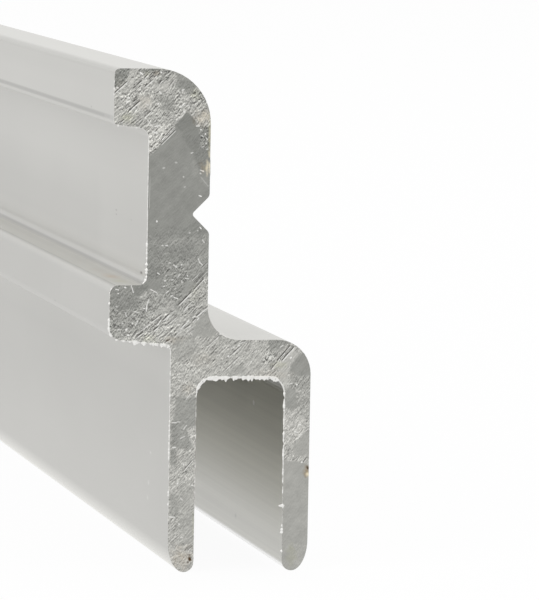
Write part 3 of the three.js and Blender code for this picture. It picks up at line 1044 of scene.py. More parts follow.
def burr_reach(place):
    """How far the burr stands out from the rim at a place, in millimetres."""
    reach = 0.0
    for burr in BURRS:
        (left, bottom), (right, top) = burr.low, burr.high
        inside = min(place.x - left, right - place.x, place.y - bottom, top - place.y)
        if inside > 0:
            rough = 1 + burr.ragged * wander(place, BURR_WAVES)
            reach = max(reach, burr.reach * max(rough, 0) * soft_step(inside - BURR_INSET, BURR_FADE))
    for fleck in BURR_FLECKS:
        away = (place - Vector(fleck.place)).length / FLECK_SPREAD
        if away < 1:
            reach = max(reach, fleck.reach * soft_step(1 - away - FLECK_FADE / 2, FLECK_FADE))
    return reach


def push_burr(bar, end, inward):
    """Pushes the line of corners just behind the rim outwards, and returns the burr's faces."""
    burr = bar.verts.layers.float["burr"]
    line = end + inward * BURR_LINE
    moves = {}
    for corner in bar.verts:
        walls = [face for face in corner.link_faces if face.material_index == SKIN]
        if not walls or (corner.co.y - end) * inward > BURR_ROOT + WELD:
            continue
        reach = burr_reach(section_place(corner))
        corner[burr] = min(FAINT_BURR + reach / FULL_BURR, 1)
        if abs(corner.co.y - line) < WELD:
            outward = sum((face.normal for face in walls), Vector())
            moves[corner] = outward.normalized() * reach * MM
    for corner, move in moves.items():
        corner.co += move
    faces = {face for corner in moves for face in corner.link_faces}
    return [
        face
        for face in faces
        if max(moves[corner].length for corner in face.verts if corner in moves) > THINNEST_BURR
    ]


def lies_on_burr_line(edge):
    """Whether an edge runs along the burr's edge."""
    return all(abs(corner.co.y - NEAR_END - BURR_LINE) < WELD for corner in edge.verts)


def cut_bar(settings):
    """The bar with its map, its finishes' places, and cells at both ends."""
    bar = bare_bar()
    for end, inward in ((NEAR_END, 1), (FAR_END, -1)):
        for depth in (BURR_LINE, BURR_ROOT, EDGE_ZONE):
            cut(bar, bar.faces[:], ALONG, end + inward * depth)
    cut(bar, bar.faces[:], ALONG, NEAR_END + DETAIL_ZONE)
    lay_map(bar)
    for face in bar.faces:
        face.material_index = SAWN if is_end(face) else SKIN
        face.smooth = True
    for end, inward, cell in ((NEAR_END, 1, settings.near_cell), (FAR_END, -1, settings.far_cell)):
        cut_end_into_cells(bar, end, inward, cell)
    return bar


def saw_near_end(bar, mark_depth):
    """Gives the near end all its marks and stains."""
    sawn = SawnEnd(bar, NEAR_END, NEAR_END_CUT)
    for area in AREAS:
        sawn.lay_area(area)
    for furrow in FURROWS:
        sawn.lay_furrow(furrow)
    for chip in CHIPS:
        sawn.lay_chip(chip)
    sawn.light_rim()
    for name, stains in STAINS.items():
        sawn.lay_stains(name, stains)
    raise_saw_marks(bar, sawn, 1, mark_depth)


def make_bar_mesh(settings):
    """The whole bar: long faces, gridded ends, saw marks, burrs and the map."""
    bar = cut_bar(settings)
    for face in push_burr(bar, NEAR_END, 1):
        face.material_index = BURR
    saw_near_end(bar, settings.mark_depth)
    raise_saw_marks(bar, SawnEnd(bar, FAR_END, FAR_END_CUT), -1, settings.mark_depth)
    for edge in bar.edges:
        rim = len({face.material_index for face in edge.link_faces}) > 1
        edge.smooth = not rim and not lies_on_burr_line(edge)
    mesh = bpy.data.meshes.new("sawn_bar")
    bar.to_mesh(mesh)
    bar.free()
    return mesh


# ---- Nodes ----


def set_input(tree, socket, value):
    """Links a node's input to another node's output, or sets it to a plain value."""
    if isinstance(value, bpy.types.NodeSocket):
        tree.links.new(value, socket)
    else:
        socket.default_value = value


def node_at(tree, kind, inputs=None, **values):
    """Adds a node with its properties and its inputs' values or links."""
    node = tree.nodes.new(kind)
    for name, value in values.items():
        setattr(node, name, value)
    for name, value in (inputs or {}).items():
        set_input(tree, node.inputs[name], value)
    return node


def maths(tree, operation, first, second=0.0, third=0.0, clamp=False):
    """The result of one sum."""
    inputs = {0: first, 1: second, 2: third}
    return node_at(tree, "ShaderNodeMath", inputs, operation=operation, use_clamp=clamp).outputs[0]


def swing(tree, value, size, middle=0.0):
    """Turns a value from 0 to 1 into one that swings by a size in all about a middle."""
    return maths(tree, "MULTIPLY_ADD", value, size, middle - size / 2)


def vector_maths(tree, operation, first, second=(0, 0, 0)):
    """The result of one sum with vectors."""
    node = node_at(tree, "ShaderNodeVectorMath", {0: first, 1: second}, operation=operation)
    return node.outputs["Vector"]


def scaled(tree, vector, scale):
    """A vector with its parts scaled."""
    return vector_maths(tree, "MULTIPLY", vector, scale)


def shaded(tree, colour, level):
    """A colour made lighter or darker."""
    node = node_at(tree, "ShaderNodeVectorMath", {0: colour, "Scale": level}, operation="SCALE")
    return node.outputs["Vector"]


def mix_values(tree, share, first, second):
    """Two values mixed."""
    return node_at(tree, "ShaderNodeMix", {0: share, 2: first, 3: second}, data_type="FLOAT").outputs[0]


def opaque(colour):
    """A plain colour as an input takes it. A link stays as it is."""
    return colour if isinstance(colour, bpy.types.NodeSocket) else (*colour, 1)


def mix_colour(tree, share, first, second, mode="MIX", clamp=True):
    """Two colours mixed. Without the clamp, a share above 1 goes beyond the second colour."""
    inputs = {0: share, 6: opaque(first), 7: opaque(second)}
    ways = {"data_type": "RGBA", "blend_type": mode, "clamp_factor": clamp}
    return node_at(tree, "ShaderNodeMix", inputs, **ways).outputs[2]


def noise_at(tree, vector, scale=1.0, detail=2.0, roughness=0.6, distortion=0.0):
    """Noise between 0 and 1 at a place."""
    inputs = {
        "Vector": vector,
        "Scale": scale,
        "Detail": detail,
        "Roughness": roughness,
        "Distortion": distortion,
    }
    return node_at(tree, "ShaderNodeTexNoise", inputs).outputs["Fac"]


def noise_slope(tree, vector, step, distortion):
    """Noise at a place, and how much it changes one step on: painted light on one side of a ridge and painted
    shade on the other.
    """
    here = noise_at(tree, vector, distortion=distortion)
    beyond = vector_maths(tree, "ADD", vector, step)
    there = noise_at(tree, beyond, distortion=distortion)
    return here, maths(tree, "SUBTRACT", here, there)


def named_value(tree, name):
    """The values stored on the mesh under a name."""
    return node_at(tree, "ShaderNodeAttribute", attribute_name=name).outputs["Fac"]


def object_place(tree):
    """The place on the bar, in metres."""
    return node_at(tree, "ShaderNodeTexCoord").outputs["Object"]


def new_group(name, vectors, values, results):
    """An empty node group with its sockets, and the node that gives its inputs."""
    tree = bpy.data.node_groups.new(name, "ShaderNodeTree")
    for kind, way, sockets in (
        ("NodeSocketVector", "INPUT", vectors),
        ("NodeSocketFloat", "INPUT", values),
        ("NodeSocketFloat", "OUTPUT", results),
    ):
        for socket in sockets:
            tree.interface.new_socket(socket, in_out=way, socket_type=kind)
    return tree, node_at(tree, "NodeGroupInput").outputs


def group_at(tree, group, inputs):
    """The results of a node group placed with its inputs."""
    return node_at(tree, "ShaderNodeGroup", inputs, node_tree=group).outputs


def empty_tree(owner):
    """The cleared node tree of a material or a world."""
    owner.use_nodes = True
    owner.node_tree.nodes.clear()
    return owner.node_tree


def new_metal(name):
    """A bare metal with its tree and its shader's inputs."""
    material = bpy.data.materials.new(name)
    tree = empty_tree(material)
    shader = node_at(tree, "ShaderNodeBsdfPrincipled", {"Metallic": 1.0})
    node_at(tree, "ShaderNodeOutputMaterial", {"Surface": shader.outputs["BSDF"]})
    return material, tree, shader.inputs


# ---- The skin ----

# In millimetres of the frame: a half length that takes in the whole bar, and where its near end is
WHOLE = 1000
START = NEAR_END / MM

Zone = namedtuple("Zone", "centre half_size softness change")
Spot = namedtuple("Spot", "centre reach ragged colour strength")

# Painted light and shade on the skin, lighter or darker than the rest where the light falls more or less:
# centre and half size in millimetres of the frame, the width of the edge, and the change in lightness
SKIN_PAINTED_LIGHT_AND_SHADE = [
    # Head
    Zone((-6, 0, 46.2), (3, WHOLE, 0.4), 0.2, -0.035),
    Zone((-8.95, 0, 45.95), (0.45, WHOLE, 0.12), 0.2, -0.07),
    Zone((-9.3, 0, 43.1), (0.4, WHOLE, 2.5), 0.4, 0.085),
    # Painted shade: a dark line along the head lip's lower edge, fainter at the bar's ends
    Zone((-9.3, 0, 41.5), (0.4, WHOLE, 0.2), 0.16, -0.15),
    Zone((-9.3, 0, 41.47), (0.4, 498, 0.16), 0.2, -0.05),
    Zone((-9.3, 0, 41.47), (0.4, 495.5, 0.17), 0.18, -0.07),
    # Web
    Zone((-6.1, 0, 38), (2.2, WHOLE, 4.5), 4, 0.09),
    Zone((-6.1, START, 29), (3, 22, 5), 4, 0.03),
    Zone((-6.1, 0, 27.7), (0.5, WHOLE, 0.8), 0.8, 0.035),
    Zone((-6.4, 0, 26.9), (0.4, WHOLE, 0.4), 0.3, -0.06),
    Zone((-6.3, 0, 26.55), (0.16, WHOLE, 0.09), 0.12, -0.24),
    # Seat
    Zone((-7.7, 0, 26.3), (1.05, WHOLE, 0.12), 0.1, 0.19),
    Zone((-8.2, 0, 26.3), (0.55, WHOLE, 0.25), 0.5, 0.04),
    Zone((-8.9, 0, 26.3), (0.14, WHOLE, 0.07), 0.1, -0.09),
    # Left leg below the seat lip
    Zone((-3.7, 0, 19.6), (1.5, WHOLE, 2), 2.5, 0.07),
    # Painted highlights on the outer curves of the legs and on the left leg's tip
    Zone((-22.4, 0, 0), (20, WHOLE, 1.45), 1.5, 0.38),
    Zone((28.3, 0, 0), (20, WHOLE, 1.45), 1.5, 0.38),
    Zone((-2.5, 0, 0), (1.4, WHOLE, 0.5), 0.6, 0.3),
]
# Painted light and shade inside the slot: darker towards its bottom, lighter halfway up, painted shade in the
# upper right corner near the sawn end, lighter under the ceiling near the sawn end, and a little darker away
# from the ends
SLOT_PAINTED_LIGHT_AND_SHADE = [
    Zone((3.2, 0, 0), (20, WHOLE, 3.7), 2.6, -0.19),
    Zone((3.2, 0, 8.2), (20, WHOLE, 2.4), 2.6, 0.1),
    Zone((6.3, START, 17.7), (1.5, 16, 1.25), 0.4, -0.45),
    Zone((6.3, START, 18), (1.5, 16, 1.1), 0.5, -0.15),
    Zone((3.2, START, 17.5), (20, 14, 3.2), 4, 0.06),
    Zone((3.2, 0, 17), (20, 474, 22), 30, -0.045),
]
LIGHTEST_SKIN = 1.72

# Painted shade from a darker edge tint, where less light glances off: the slot's upper right corner near the
# sawn end
GLANCE_SHADE_ZONES = [Zone((6.3, START, 18), (1.5, 16, 1.4), 0.6, -0.38)]

# The whole inside of the slot
SLOT = MOUNTS["slot_ceiling"] / MM
PAST_WALLS = 0.02  # how far the slot's zone reaches into its walls
SLOT_HALF_SIZE = (SLOT_HALF_WIDTH / MM + PAST_WALLS, WHOLE, SLOT.z + PAST_WALLS)
IN_SLOT = Zone((SLOT.x, 0, 0), SLOT_HALF_SIZE, 0.01, 1)

TAN_DIRT = (0.66, 0.54, 0.42)
YELLOW_DIRT = (0.62, 0.6, 0.43)
BROWN_DIRT = (0.6, 0.55, 0.5)
BLACK_DIRT = (0.14, 0.13, 0.12)
DARK_SPECK = (0.3, 0.29, 0.28)
GREY_SPECK = (0.4, 0.39, 0.37)
PALE_SPECK = (0.8, 0.8, 0.78)
WHITE_SPECK = (1, 1, 1)
SLOT_SPECK = (0.3, 0.3, 0.29)
RIGHT_TIP_PAINTED_HIGHLIGHT = (0.98, 0.98, 0.97)

# Dirt on the skin, and one painted highlight: centre and reach in millimetres of the frame, how ragged it is,
# its colour and its strength
SKIN_SPOTS = [
    # Web and seat
    Spot((-7.6, START + 8.5, 26.35), (0.9, 3.2, 1), 0.9, TAN_DIRT, 0.6),
    Spot((-7.7, START + 4, 26.35), (0.9, 2.6, 1), 0.9, YELLOW_DIRT, 0.4),
    Spot((-7.6, START + 14, 26.35), (0.9, 4, 1), 0.9, BROWN_DIRT, 0.3),
    Spot((-6, START + 2.5, 27.25), (1, 0.7, 0.17), 0.5, BLACK_DIRT, 1.0),
    Spot((-6, START + 14.4, 32.0), (1, 0.6, 0.12), 0.5, DARK_SPECK, 0.6),
    Spot((-6, START + 14.35, 31.6), (1, 0.5, 0.12), 0.5, DARK_SPECK, 0.5),
    Spot((-6, START + 7.4, 31.65), (1, 0.5, 0.1), 0.5, GREY_SPECK, 0.5),
    # Lips
    Spot((-9.4, START + 26.6, 22.3), (1, 0.3, 0.12), 0.5, DARK_SPECK, 0.6),
    Spot((-9.3, START + 10.7, 41.87), (1, 0.3, 0.12), 0.5, DARK_SPECK, 0.6),
    # Left leg
    Spot((-3.7, START + 8.3, 9.95), (1, 0.5, 0.2), 0.6, PALE_SPECK, 0.5),
    Spot((-3.7, START + 9.0, 7.05), (1, 0.5, 0.3), 0.6, PALE_SPECK, 0.4),
    Spot((-3.7, START + 9.3, 5.6), (1, 0.5, 0.3), 0.6, PALE_SPECK, 0.35),
    # Slot
    Spot((7, START + 12.55, 14.0), (1, 0.45, 0.26), 0.5, WHITE_SPECK, 3.0),
    Spot((7, START + 19.3, 2.3), (1, 0.55, 0.3), 0.5, SLOT_SPECK, 0.7),
    # Painted highlight: the inner edge of the right leg's tip, near white along the whole bar
    Spot((7.6, 0, -1), (3, 10 * WHOLE, 1.86), 0.0, RIGHT_TIP_PAINTED_HIGHLIGHT, 7.0),
]

# Waves per metre of the skin's clouds and drawing lines, and how much each makes it lighter or darker
CLOUD_WAVES = (60, 25, 60)
LINE_WAVES = (1500, 6, 1500)
FINE_WAVES = 5000.0
CLOUD_SWING = 0.1
LINE_SWING = 0.03
FINE_SWING = 0.04
SLOT_LINE_SWING = 0.3  # what the drawing lines add to that inside the slot
ROUGHNESS_SWING = 0.04
SPOT_WAVES = 900.0


def metres(place):
    """A place or a size in millimetres as metres."""
    return tuple(part * MM for part in place)


def zone_group():
    """Group: 1 inside a box of the bar, and 0 outside it."""
    tree, given = new_group("Zone", ("Place", "Centre", "Half Size"), ("Softness",), ("Mask",))
    off = vector_maths(tree, "SUBTRACT", given["Place"], given["Centre"])
    inside = vector_maths(tree, "SUBTRACT", given["Half Size"], vector_maths(tree, "ABSOLUTE", off))
    parts = node_at(tree, "ShaderNodeSeparateXYZ", {0: inside}).outputs
    least = maths(tree, "MINIMUM", maths(tree, "MINIMUM", parts["X"], parts["Y"]), parts["Z"])
    share = maths(tree, "DIVIDE", least, given["Softness"])
    node_at(tree, "NodeGroupOutput", {"Mask": maths(tree, "ADD", share, 0.5, clamp=True)})
    return tree


def spot_group():
    """Group: 1 in the middle of a ragged spot, fading out at its reach."""
    tree, given = new_group("Spot", ("Place", "Centre", "Reach"), ("Ragged",), ("Mask",))
    off = vector_maths(tree, "SUBTRACT", given["Place"], given["Centre"])
    share = vector_maths(tree, "DIVIDE", off, given["Reach"])
    out = node_at(tree, "ShaderNodeVectorMath", {0: share}, operation="LENGTH").outputs["Value"]
    rough = noise_at(tree, given["Place"], SPOT_WAVES, detail=3.0)
    edge = maths(tree, "MULTIPLY_ADD", rough, given["Ragged"], 1.0)
    half = maths(tree, "MULTIPLY_ADD", given["Ragged"], -0.5, edge)
    node_at(tree, "NodeGroupOutput", {"Mask": maths(tree, "SUBTRACT", half, out, clamp=True)})
    return tree


def zone_mask(tree, group, place, zone):
    """How far a place is inside a zone, from 0 to 1."""
    inputs = {
        "Place": place,
        "Centre": metres(zone.centre),
        "Half Size": metres(zone.half_size),
        "Softness": zone.softness * MM,
    }
    return group_at(tree, group, inputs)["Mask"]


def with_zones(tree, group, place, level, zones):
    """A level with the changes that its zones make."""
    for zone in zones:
        level = maths(tree, "MULTIPLY_ADD", zone_mask(tree, group, place, zone), zone.change, level)
    return level


def with_spots(tree, place, colour, spots):
    """A colour with spots of dirt on it, and a painted highlight."""
    group = spot_group()
    for spot in spots:
        inputs = {
            "Place": place,
            "Centre": metres(spot.centre),
            "Reach": metres(spot.reach),
            "Ragged": spot.ragged,
        }
        mask = group_at(tree, group, inputs)["Mask"]
        share = maths(tree, "MULTIPLY", mask, spot.strength)
        colour = mix_colour(tree, share, colour, spot.colour)
    return colour


def skin_material(settings):
    """Satin anodised skin with painted light and shade, painted lighter inside the slot to lift its shade,
    and smoother there, where nothing has rubbed it.
    """
    material, tree, skin = new_metal("satin_anodised_skin")
    place = object_place(tree)
    cloudy = noise_at(tree, scaled(tree, place, CLOUD_WAVES), roughness=0.5)
    drawn = noise_at(tree, scaled(tree, place, LINE_WAVES), detail=3.0)
    fine = noise_at(tree, place, FINE_WAVES)
    lined = maths(tree, "ADD", swing(tree, drawn, LINE_SWING), swing(tree, cloudy, CLOUD_SWING, 1.0))
    level = maths(tree, "ADD", swing(tree, fine, FINE_SWING), lined)
    slot_level = maths(tree, "ADD", swing(tree, drawn, SLOT_LINE_SWING), level)
    group = zone_group()
    outside = maths(tree, "MINIMUM", with_zones(tree, group, place, level, SKIN_PAINTED_LIGHT_AND_SHADE), LIGHTEST_SKIN)
    inside = with_zones(tree, group, place, slot_level, SLOT_PAINTED_LIGHT_AND_SHADE)
    in_slot = zone_mask(tree, group, place, IN_SLOT)
    colour = mix_colour(tree, in_slot, settings.skin_colour, settings.slot_painted_light_colour)
    clean = shaded(tree, colour, mix_values(tree, in_slot, outside, inside))
    set_input(tree, skin["Base Color"], with_spots(tree, place, clean, SKIN_SPOTS))
    rough = swing(tree, drawn, ROUGHNESS_SWING, settings.skin_roughness)
    slot_change = settings.slot_roughness - settings.skin_roughness
    set_input(tree, skin["Roughness"], maths(tree, "MULTIPLY_ADD", in_slot, slot_change, rough))
    set_input(tree, skin["Specular Tint"], with_zones(tree, group, place, 1.0, GLANCE_SHADE_ZONES))
    return material


# ---- The sawn ends ----

# How much lighter a sawn end is: painted light at its heights and on slopes that face the light, then in its
# finest grain, in the broad bands that each stroke of the saw leaves, in its patches, and in the mottling and
# the bands of cleanly cut metal
HIGH_IS_LIGHT = 2.0
SLOPE_IS_LIGHT = 5.0
GRAIN_IS_LIGHT = 3.0
BAND_IS_LIGHT = 0.8
PATCH_IS_LIGHT = 1.2
QUIET_IS_LIGHT = 0.38
STREAK_IS_LIGHT = 0.17

# Waves per millimetre along the strokes and across them, and the step across that shows a slope
STROKE_WAVES = (1.6, 6.0, 1)
STROKE_STEP = (0, 0.5, 0)
CRUMB_WAVES = (3.0, 4.4, 1)
CRUMB_STEP = (0, 0.45, 0)
CRUMB_DISTORTION = 0.9
BAND_WAVES = (0.25, 1.7, 1)

# Waves per metre of the patches, the grain, the quiet mottling, and the burr's mottling
PATCH_WAVES = 1100.0
GRAIN_WAVES = 6500.0
MOTTLING_WAVES = 1000.0
BURR_MOTTLING_WAVES = 4000.0

PATCH_SHARPNESS = 5.0  # how sharply crumbs take the place of strokes at a patch's edge
CURLS_SPREAD, CURLS_BIAS = 4.0, -4.5  # how a curls value sets the size of the patches of crumbs

# How much of the stored tearing shows, and what shows where there is none
TEARING_SHARE, LEAST_TEARING = 0.5, 0.005
# How much of the stored tone, the torn relief's height, shows as painted light on the crests
TONE_SHARE = 0.16
DARKEST_METAL = 0.25
# Painted shade on a furrow's floor, and a painted highlight on its wall
FURROW_FLOOR = 1.25  # half width of a furrow's dark floor, in half widths of the furrow
FURROW_WALL = 1.1  # the same for its bright wall, which lies WALL_OFFSET to its right
WALL_OFFSET = 2.0
CHIP_EDGE = 2.5  # how sharply a chip stands out

RUST = (0.78, 0.6, 0.4)
OLIVE = (0.95, 0.96, 0.78)
CREAM = (0.86, 0.78, 0.6)
GRIME = (0.09, 0.06, 0.035)

GRAIN_BUMP = 0.4
GRAIN_DEPTH = 0.02 * MM
SAWN_ROUGHNESS = 0.45
BURR_ROUGHNESS = 0.5
BURR_SWING = 0.4


def torn_grain_group():
    """Group: how light and how high torn metal is at a place, with painted light on its heights and on slopes
    that face the light.
    """
    tree, given = new_group(
        "Torn grain", ("Place", "Strokes"), ("Curls", "Tearing"), ("Lightness", "Height")
    )
    strokes = scaled(tree, given["Strokes"], STROKE_WAVES)
    stroke_height, stroke_painted_light = noise_slope(tree, strokes, STROKE_STEP, 0.0)
    crumbs = scaled(tree, given["Strokes"], CRUMB_WAVES)
    crumb_height, crumb_painted_light = noise_slope(tree, crumbs, CRUMB_STEP, CRUMB_DISTORTION)
    patches = noise_at(tree, given["Place"], PATCH_WAVES, roughness=0.5)
    spread = maths(tree, "MULTIPLY_ADD", given["Curls"], CURLS_SPREAD, CURLS_BIAS)
    curled = maths(tree, "MULTIPLY_ADD", patches, PATCH_SHARPNESS, spread, clamp=True)
    height = mix_values(tree, curled, stroke_height, crumb_height)
    slope = mix_values(tree, curled, stroke_painted_light, crumb_painted_light)
    grain = noise_at(tree, given["Place"], GRAIN_WAVES, detail=1.0)
    bands = noise_at(tree, scaled(tree, given["Strokes"], BAND_WAVES), roughness=0.5)
    # Painted light and shade from the relief: lighter at the heights and on slopes that face the light
    painted_relief_light = maths(tree, "MULTIPLY_ADD", slope, SLOPE_IS_LIGHT, swing(tree, height, HIGH_IS_LIGHT))
    near = maths(tree, "ADD", painted_relief_light, swing(tree, grain, GRAIN_IS_LIGHT))
    broad = maths(tree, "ADD", swing(tree, bands, BAND_IS_LIGHT), swing(tree, patches, PATCH_IS_LIGHT))
    torn = maths(tree, "ADD", near, broad)
    mottling = noise_at(tree, given["Place"], MOTTLING_WAVES, detail=4.0)
    streaks = swing(tree, bands, STREAK_IS_LIGHT, 1 - QUIET_IS_LIGHT / 2)
    quiet = maths(tree, "MULTIPLY_ADD", mottling, QUIET_IS_LIGHT, streaks)
    lightness = maths(tree, "MULTIPLY_ADD", torn, given["Tearing"], quiet)
    node_at(tree, "NodeGroupOutput", {"Lightness": lightness, "Height": height})
    return tree


def with_furrow_shade_and_highlight(tree, colour, settings):
    """A colour with painted shade on the furrows' floors and a painted highlight, in the burr's colour, on
    their walls.
    """
    depth, offset = named_value(tree, "furrow_depth"), named_value(tree, "furrow_offset")
    floor = maths(tree, "SUBTRACT", FURROW_FLOOR, maths(tree, "ABSOLUTE", offset), clamp=True)
    from_wall = maths(tree, "ABSOLUTE", maths(tree, "ADD", offset, WALL_OFFSET))
    wall = maths(tree, "SUBTRACT", FURROW_WALL, from_wall, clamp=True)
    dark = mix_colour(tree, maths(tree, "MULTIPLY", depth, floor), colour, settings.furrow_shade_colour)
    return mix_colour(tree, maths(tree, "MULTIPLY", depth, wall), dark, settings.burr_colour)


def with_chips(tree, colour, settings):
    """A colour with the bright chips over it."""
    cover = maths(tree, "MULTIPLY", named_value(tree, "chip_cover"), CHIP_EDGE, clamp=True)
    chip = maths(tree, "MULTIPLY", cover, named_value(tree, "chip_strength"))
    return mix_colour(tree, chip, colour, settings.burr_colour)


def with_stains(tree, colour):
    """A colour with the stains over it: two that tint the metal and two that hide it."""
    for name, stain, mode in (
        ("rust", RUST, "MULTIPLY"),
        ("olive", OLIVE, "MULTIPLY"),
        ("cream", CREAM, "MIX"),
        ("grime", GRIME, "MIX"),
    ):
        colour = mix_colour(tree, named_value(tree, name), colour, stain, mode)
    return colour


def sawn_material(settings):
    """Bare metal as the saw left it."""
    material, tree, metal = new_metal("sawn_aluminium")
    stored = {"X": named_value(tree, "along_strokes"), "Y": named_value(tree, "across_strokes")}
    tearing = maths(tree, "MULTIPLY_ADD", named_value(tree, "tearing"), TEARING_SHARE, LEAST_TEARING)
    inputs = {
        "Place": object_place(tree),
        "Strokes": node_at(tree, "ShaderNodeCombineXYZ", stored).outputs[0],
        "Curls": named_value(tree, "curls"),
        "Tearing": tearing,
    }
    grain = group_at(tree, torn_grain_group(), inputs)
    light = named_value(tree, "light")
    colour = mix_colour(tree, light, settings.smooth_colour, settings.torn_colour, clamp=False)
    # Painted light on the crests from the stored tone, added to the grain's lightness
    tone = maths(tree, "MULTIPLY_ADD", named_value(tree, "tone"), TONE_SHARE, grain["Lightness"])
    bare = shaded(tree, colour, maths(tree, "MAXIMUM", tone, DARKEST_METAL))
    marked = with_chips(tree, with_furrow_shade_and_highlight(tree, bare, settings), settings)
    set_input(tree, metal["Base Color"], with_stains(tree, marked))
    relief = {"Height": grain["Height"], "Strength": GRAIN_BUMP, "Distance": GRAIN_DEPTH}
    set_input(tree, metal["Normal"], node_at(tree, "ShaderNodeBump", relief).outputs["Normal"])
    set_input(tree, metal["Roughness"], SAWN_ROUGHNESS)
    return material


def burr_material(settings):
    """Thin metal pushed over the rim, bright where it reaches furthest."""
    material, tree, metal = new_metal("bright_burr")
    mottling = noise_at(tree, object_place(tree), BURR_MOTTLING_WAVES)
    colour = mix_colour(tree, named_value(tree, "burr"), settings.skin_colour, settings.burr_colour)
    set_input(tree, metal["Base Color"], shaded(tree, colour, swing(tree, mottling, BURR_SWING, 1.0)))
    set_input(tree, metal["Roughness"], BURR_ROUGHNESS)
    return material


# ---- The stage ----

WHITE = (1, 1, 1, 1)
FLOOR_WHITENESS = 0.95  # how much of the floor's own look gives way to white where it is seen
STAGE_MIDDLE = (0, NEAR_END, 0.02)
TOP_LAMP_PLACE = (0.1, NEAR_END + 0.2, 1.5)
TOP_LAMP_SIZE = 1.5
LEFT_LAMP_PLACE = (-1.2, NEAR_END - 0.6, 0.9)
LEFT_LAMP_SIZE = 1.0
FURTHEST_SEEN = 50


def look_along(settings):
    """The camera's rotation from its heading, tilt and roll."""
    upright = Matrix.Rotation(math.pi / 2 - settings.tilt, 4, "X")
    turn = Matrix.Rotation(-settings.heading, 4, "Z")
    return turn @ upright @ Matrix.Rotation(settings.roll, 4, "Z")


def add_lamp(scene, name, place, size, power):
    """A square soft lamp aimed at the stage's middle."""
    light = bpy.data.lights.new(name, "AREA")
    light.size = size
    light.energy = power
    lamp = bpy.data.objects.new(name, light)
    aim = (Vector(STAGE_MIDDLE) - Vector(place)).to_track_quat("-Z", "Y")
    lamp.matrix_world = Matrix.Translation(place) @ aim.to_matrix().to_4x4()
    scene.collection.objects.link(lamp)


def white_to_sight(tree):
    """A factor that is 1 for the rays that see the background, in a mirror or glass too."""
    path = node_at(tree, "ShaderNodeLightPath").outputs
    seen = maths(tree, "MAXIMUM", path["Is Camera Ray"], path["Is Glossy Ray"])
    return maths(tree, "MAXIMUM", seen, path["Is Transmission Ray"])


def mix_shaders(tree, output, share, first, second):
    """Two shaders mixed into the tree's output."""
    inputs = {0: share, 1: first.outputs[0], 2: second.outputs[0]}
    mix = node_at(tree, "ShaderNodeMixShader", inputs)
    node_at(tree, output, {"Surface": mix.outputs[0]})


def floor_material(settings):
    """Plain pale floor that looks white and keeps a soft shadow."""
    material = bpy.data.materials.new("pale_floor")
    tree = empty_tree(material)
    matt = node_at(tree, "ShaderNodeBsdfDiffuse", {"Color": opaque(settings.floor_colour)})
    white = node_at(tree, "ShaderNodeEmission", {"Color": WHITE, "Strength": 1.0})
    share = maths(tree, "MULTIPLY", white_to_sight(tree), FLOOR_WHITENESS)
    mix_shaders(tree, "ShaderNodeOutputMaterial", share, matt, white)
    return material


def add_floor(scene, settings):
    """A square floor under the bar."""
    plane = bmesh.new()
    bmesh.ops.create_grid(plane, x_segments=1, y_segments=1, size=settings.floor_side / 2)
    mesh = bpy.data.meshes.new("floor")
    plane.to_mesh(mesh)
    plane.free()
    mesh.materials.append(floor_material(settings))
    floor = bpy.data.objects.new("floor", mesh)
    scene.collection.objects.link(floor)


def set_world(scene, settings):
    """Soft light from all round, with a background that looks white."""
    world = bpy.data.worlds.new("studio")
    tree = empty_tree(world)
    soft = node_at(tree, "ShaderNodeBackground", {"Color": WHITE, "Strength": settings.world_level})
    seen = node_at(tree, "ShaderNodeBackground", {"Color": WHITE, "Strength": 1.0})
    mix_shaders(tree, "ShaderNodeOutputWorld", white_to_sight(tree), soft, seen)
    scene.world = world


def add_camera(scene, settings):
    """The camera that takes the main view."""
    data = bpy.data.cameras.new("camera")
    data.lens = settings.lens
    data.clip_end = FURTHEST_SEEN
    camera = bpy.data.objects.new("camera", data)
    camera.matrix_world = Matrix.Translation(settings.camera_place) @ look_along(settings)
    scene.collection.objects.link(camera)
    scene.camera = camera


# ---- Operators ----


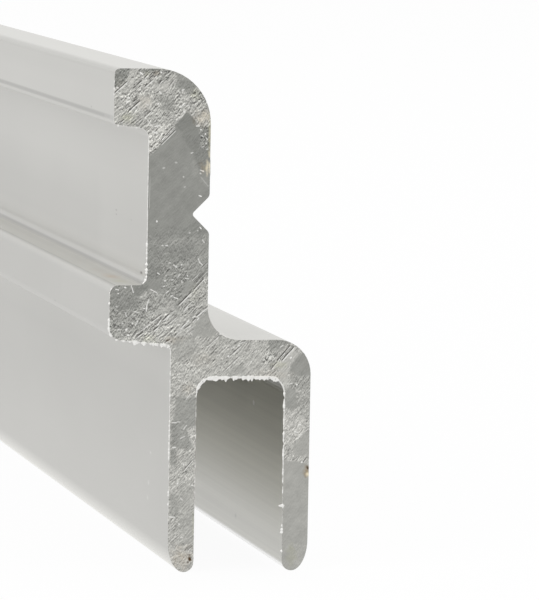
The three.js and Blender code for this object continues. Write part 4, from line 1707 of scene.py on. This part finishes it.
class EXTRUSION_OT_make_bar(bpy.types.Operator):
    """Makes the bar with its sawn ends and finishes"""

    bl_idname = "extrusion.make_bar"
    bl_label = "Make the bar"

    def execute(self, context):
        settings = context.scene.bar_settings
        mesh = make_bar_mesh(settings)
        for material in (skin_material(settings), sawn_material(settings), burr_material(settings)):
            mesh.materials.append(material)
        bar = bpy.data.objects.new("sawn_bar", mesh)
        context.scene.collection.objects.link(bar)
        weighted = bar.modifiers.new("flat_faces_keep_their_shade", "WEIGHTED_NORMAL")
        weighted.keep_sharp = True
        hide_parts(NODE)
        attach(bar, "root")
        return {"FINISHED"}


class EXTRUSION_OT_set_stage(bpy.types.Operator):
    """Sets the floor, the lamps, the world and the camera"""

    bl_idname = "extrusion.set_stage"
    bl_label = "Set the stage"

    def execute(self, context):
        scene = context.scene
        settings = scene.stage_settings
        add_floor(scene, settings)
        set_world(scene, settings)
        add_lamp(scene, "top_lamp", TOP_LAMP_PLACE, TOP_LAMP_SIZE, settings.top_power)
        add_lamp(scene, "left_lamp", LEFT_LAMP_PLACE, LEFT_LAMP_SIZE, settings.left_power)
        add_camera(scene, settings)
        scene.view_settings.view_transform = "Standard"
        return {"FINISHED"}


class EXTRUSION_PT_panel(bpy.types.Panel):
    """Buttons for the bar and the stage, with their settings"""

    bl_idname = "EXTRUSION_PT_panel"
    bl_label = "Extrusion"
    bl_space_type = "VIEW_3D"
    bl_region_type = "UI"
    bl_category = "Extrusion"

    def draw(self, context):
        for operator, settings in (
            (EXTRUSION_OT_make_bar, context.scene.bar_settings),
            (EXTRUSION_OT_set_stage, context.scene.stage_settings),
        ):
            box = self.layout.box()
            box.operator(operator.bl_idname)
            for name in settings.__annotations__:
                box.prop(settings, name)


CLASSES = (
    BarSettings,
    StageSettings,
    EXTRUSION_OT_make_bar,
    EXTRUSION_OT_set_stage,
    EXTRUSION_PT_panel,
)


def register():
    for cls in CLASSES:
        bpy.utils.register_class(cls)
    bpy.types.Scene.bar_settings = PointerProperty(type=BarSettings)
    bpy.types.Scene.stage_settings = PointerProperty(type=StageSettings)


def unregister():
    del bpy.types.Scene.stage_settings
    del bpy.types.Scene.bar_settings
    for cls in reversed(CLASSES):
        bpy.utils.unregister_class(cls)


def main():
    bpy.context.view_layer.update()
    register()
    bpy.ops.extrusion.make_bar()
    bpy.ops.extrusion.set_stage()


if __name__ == "__main__":
    main()
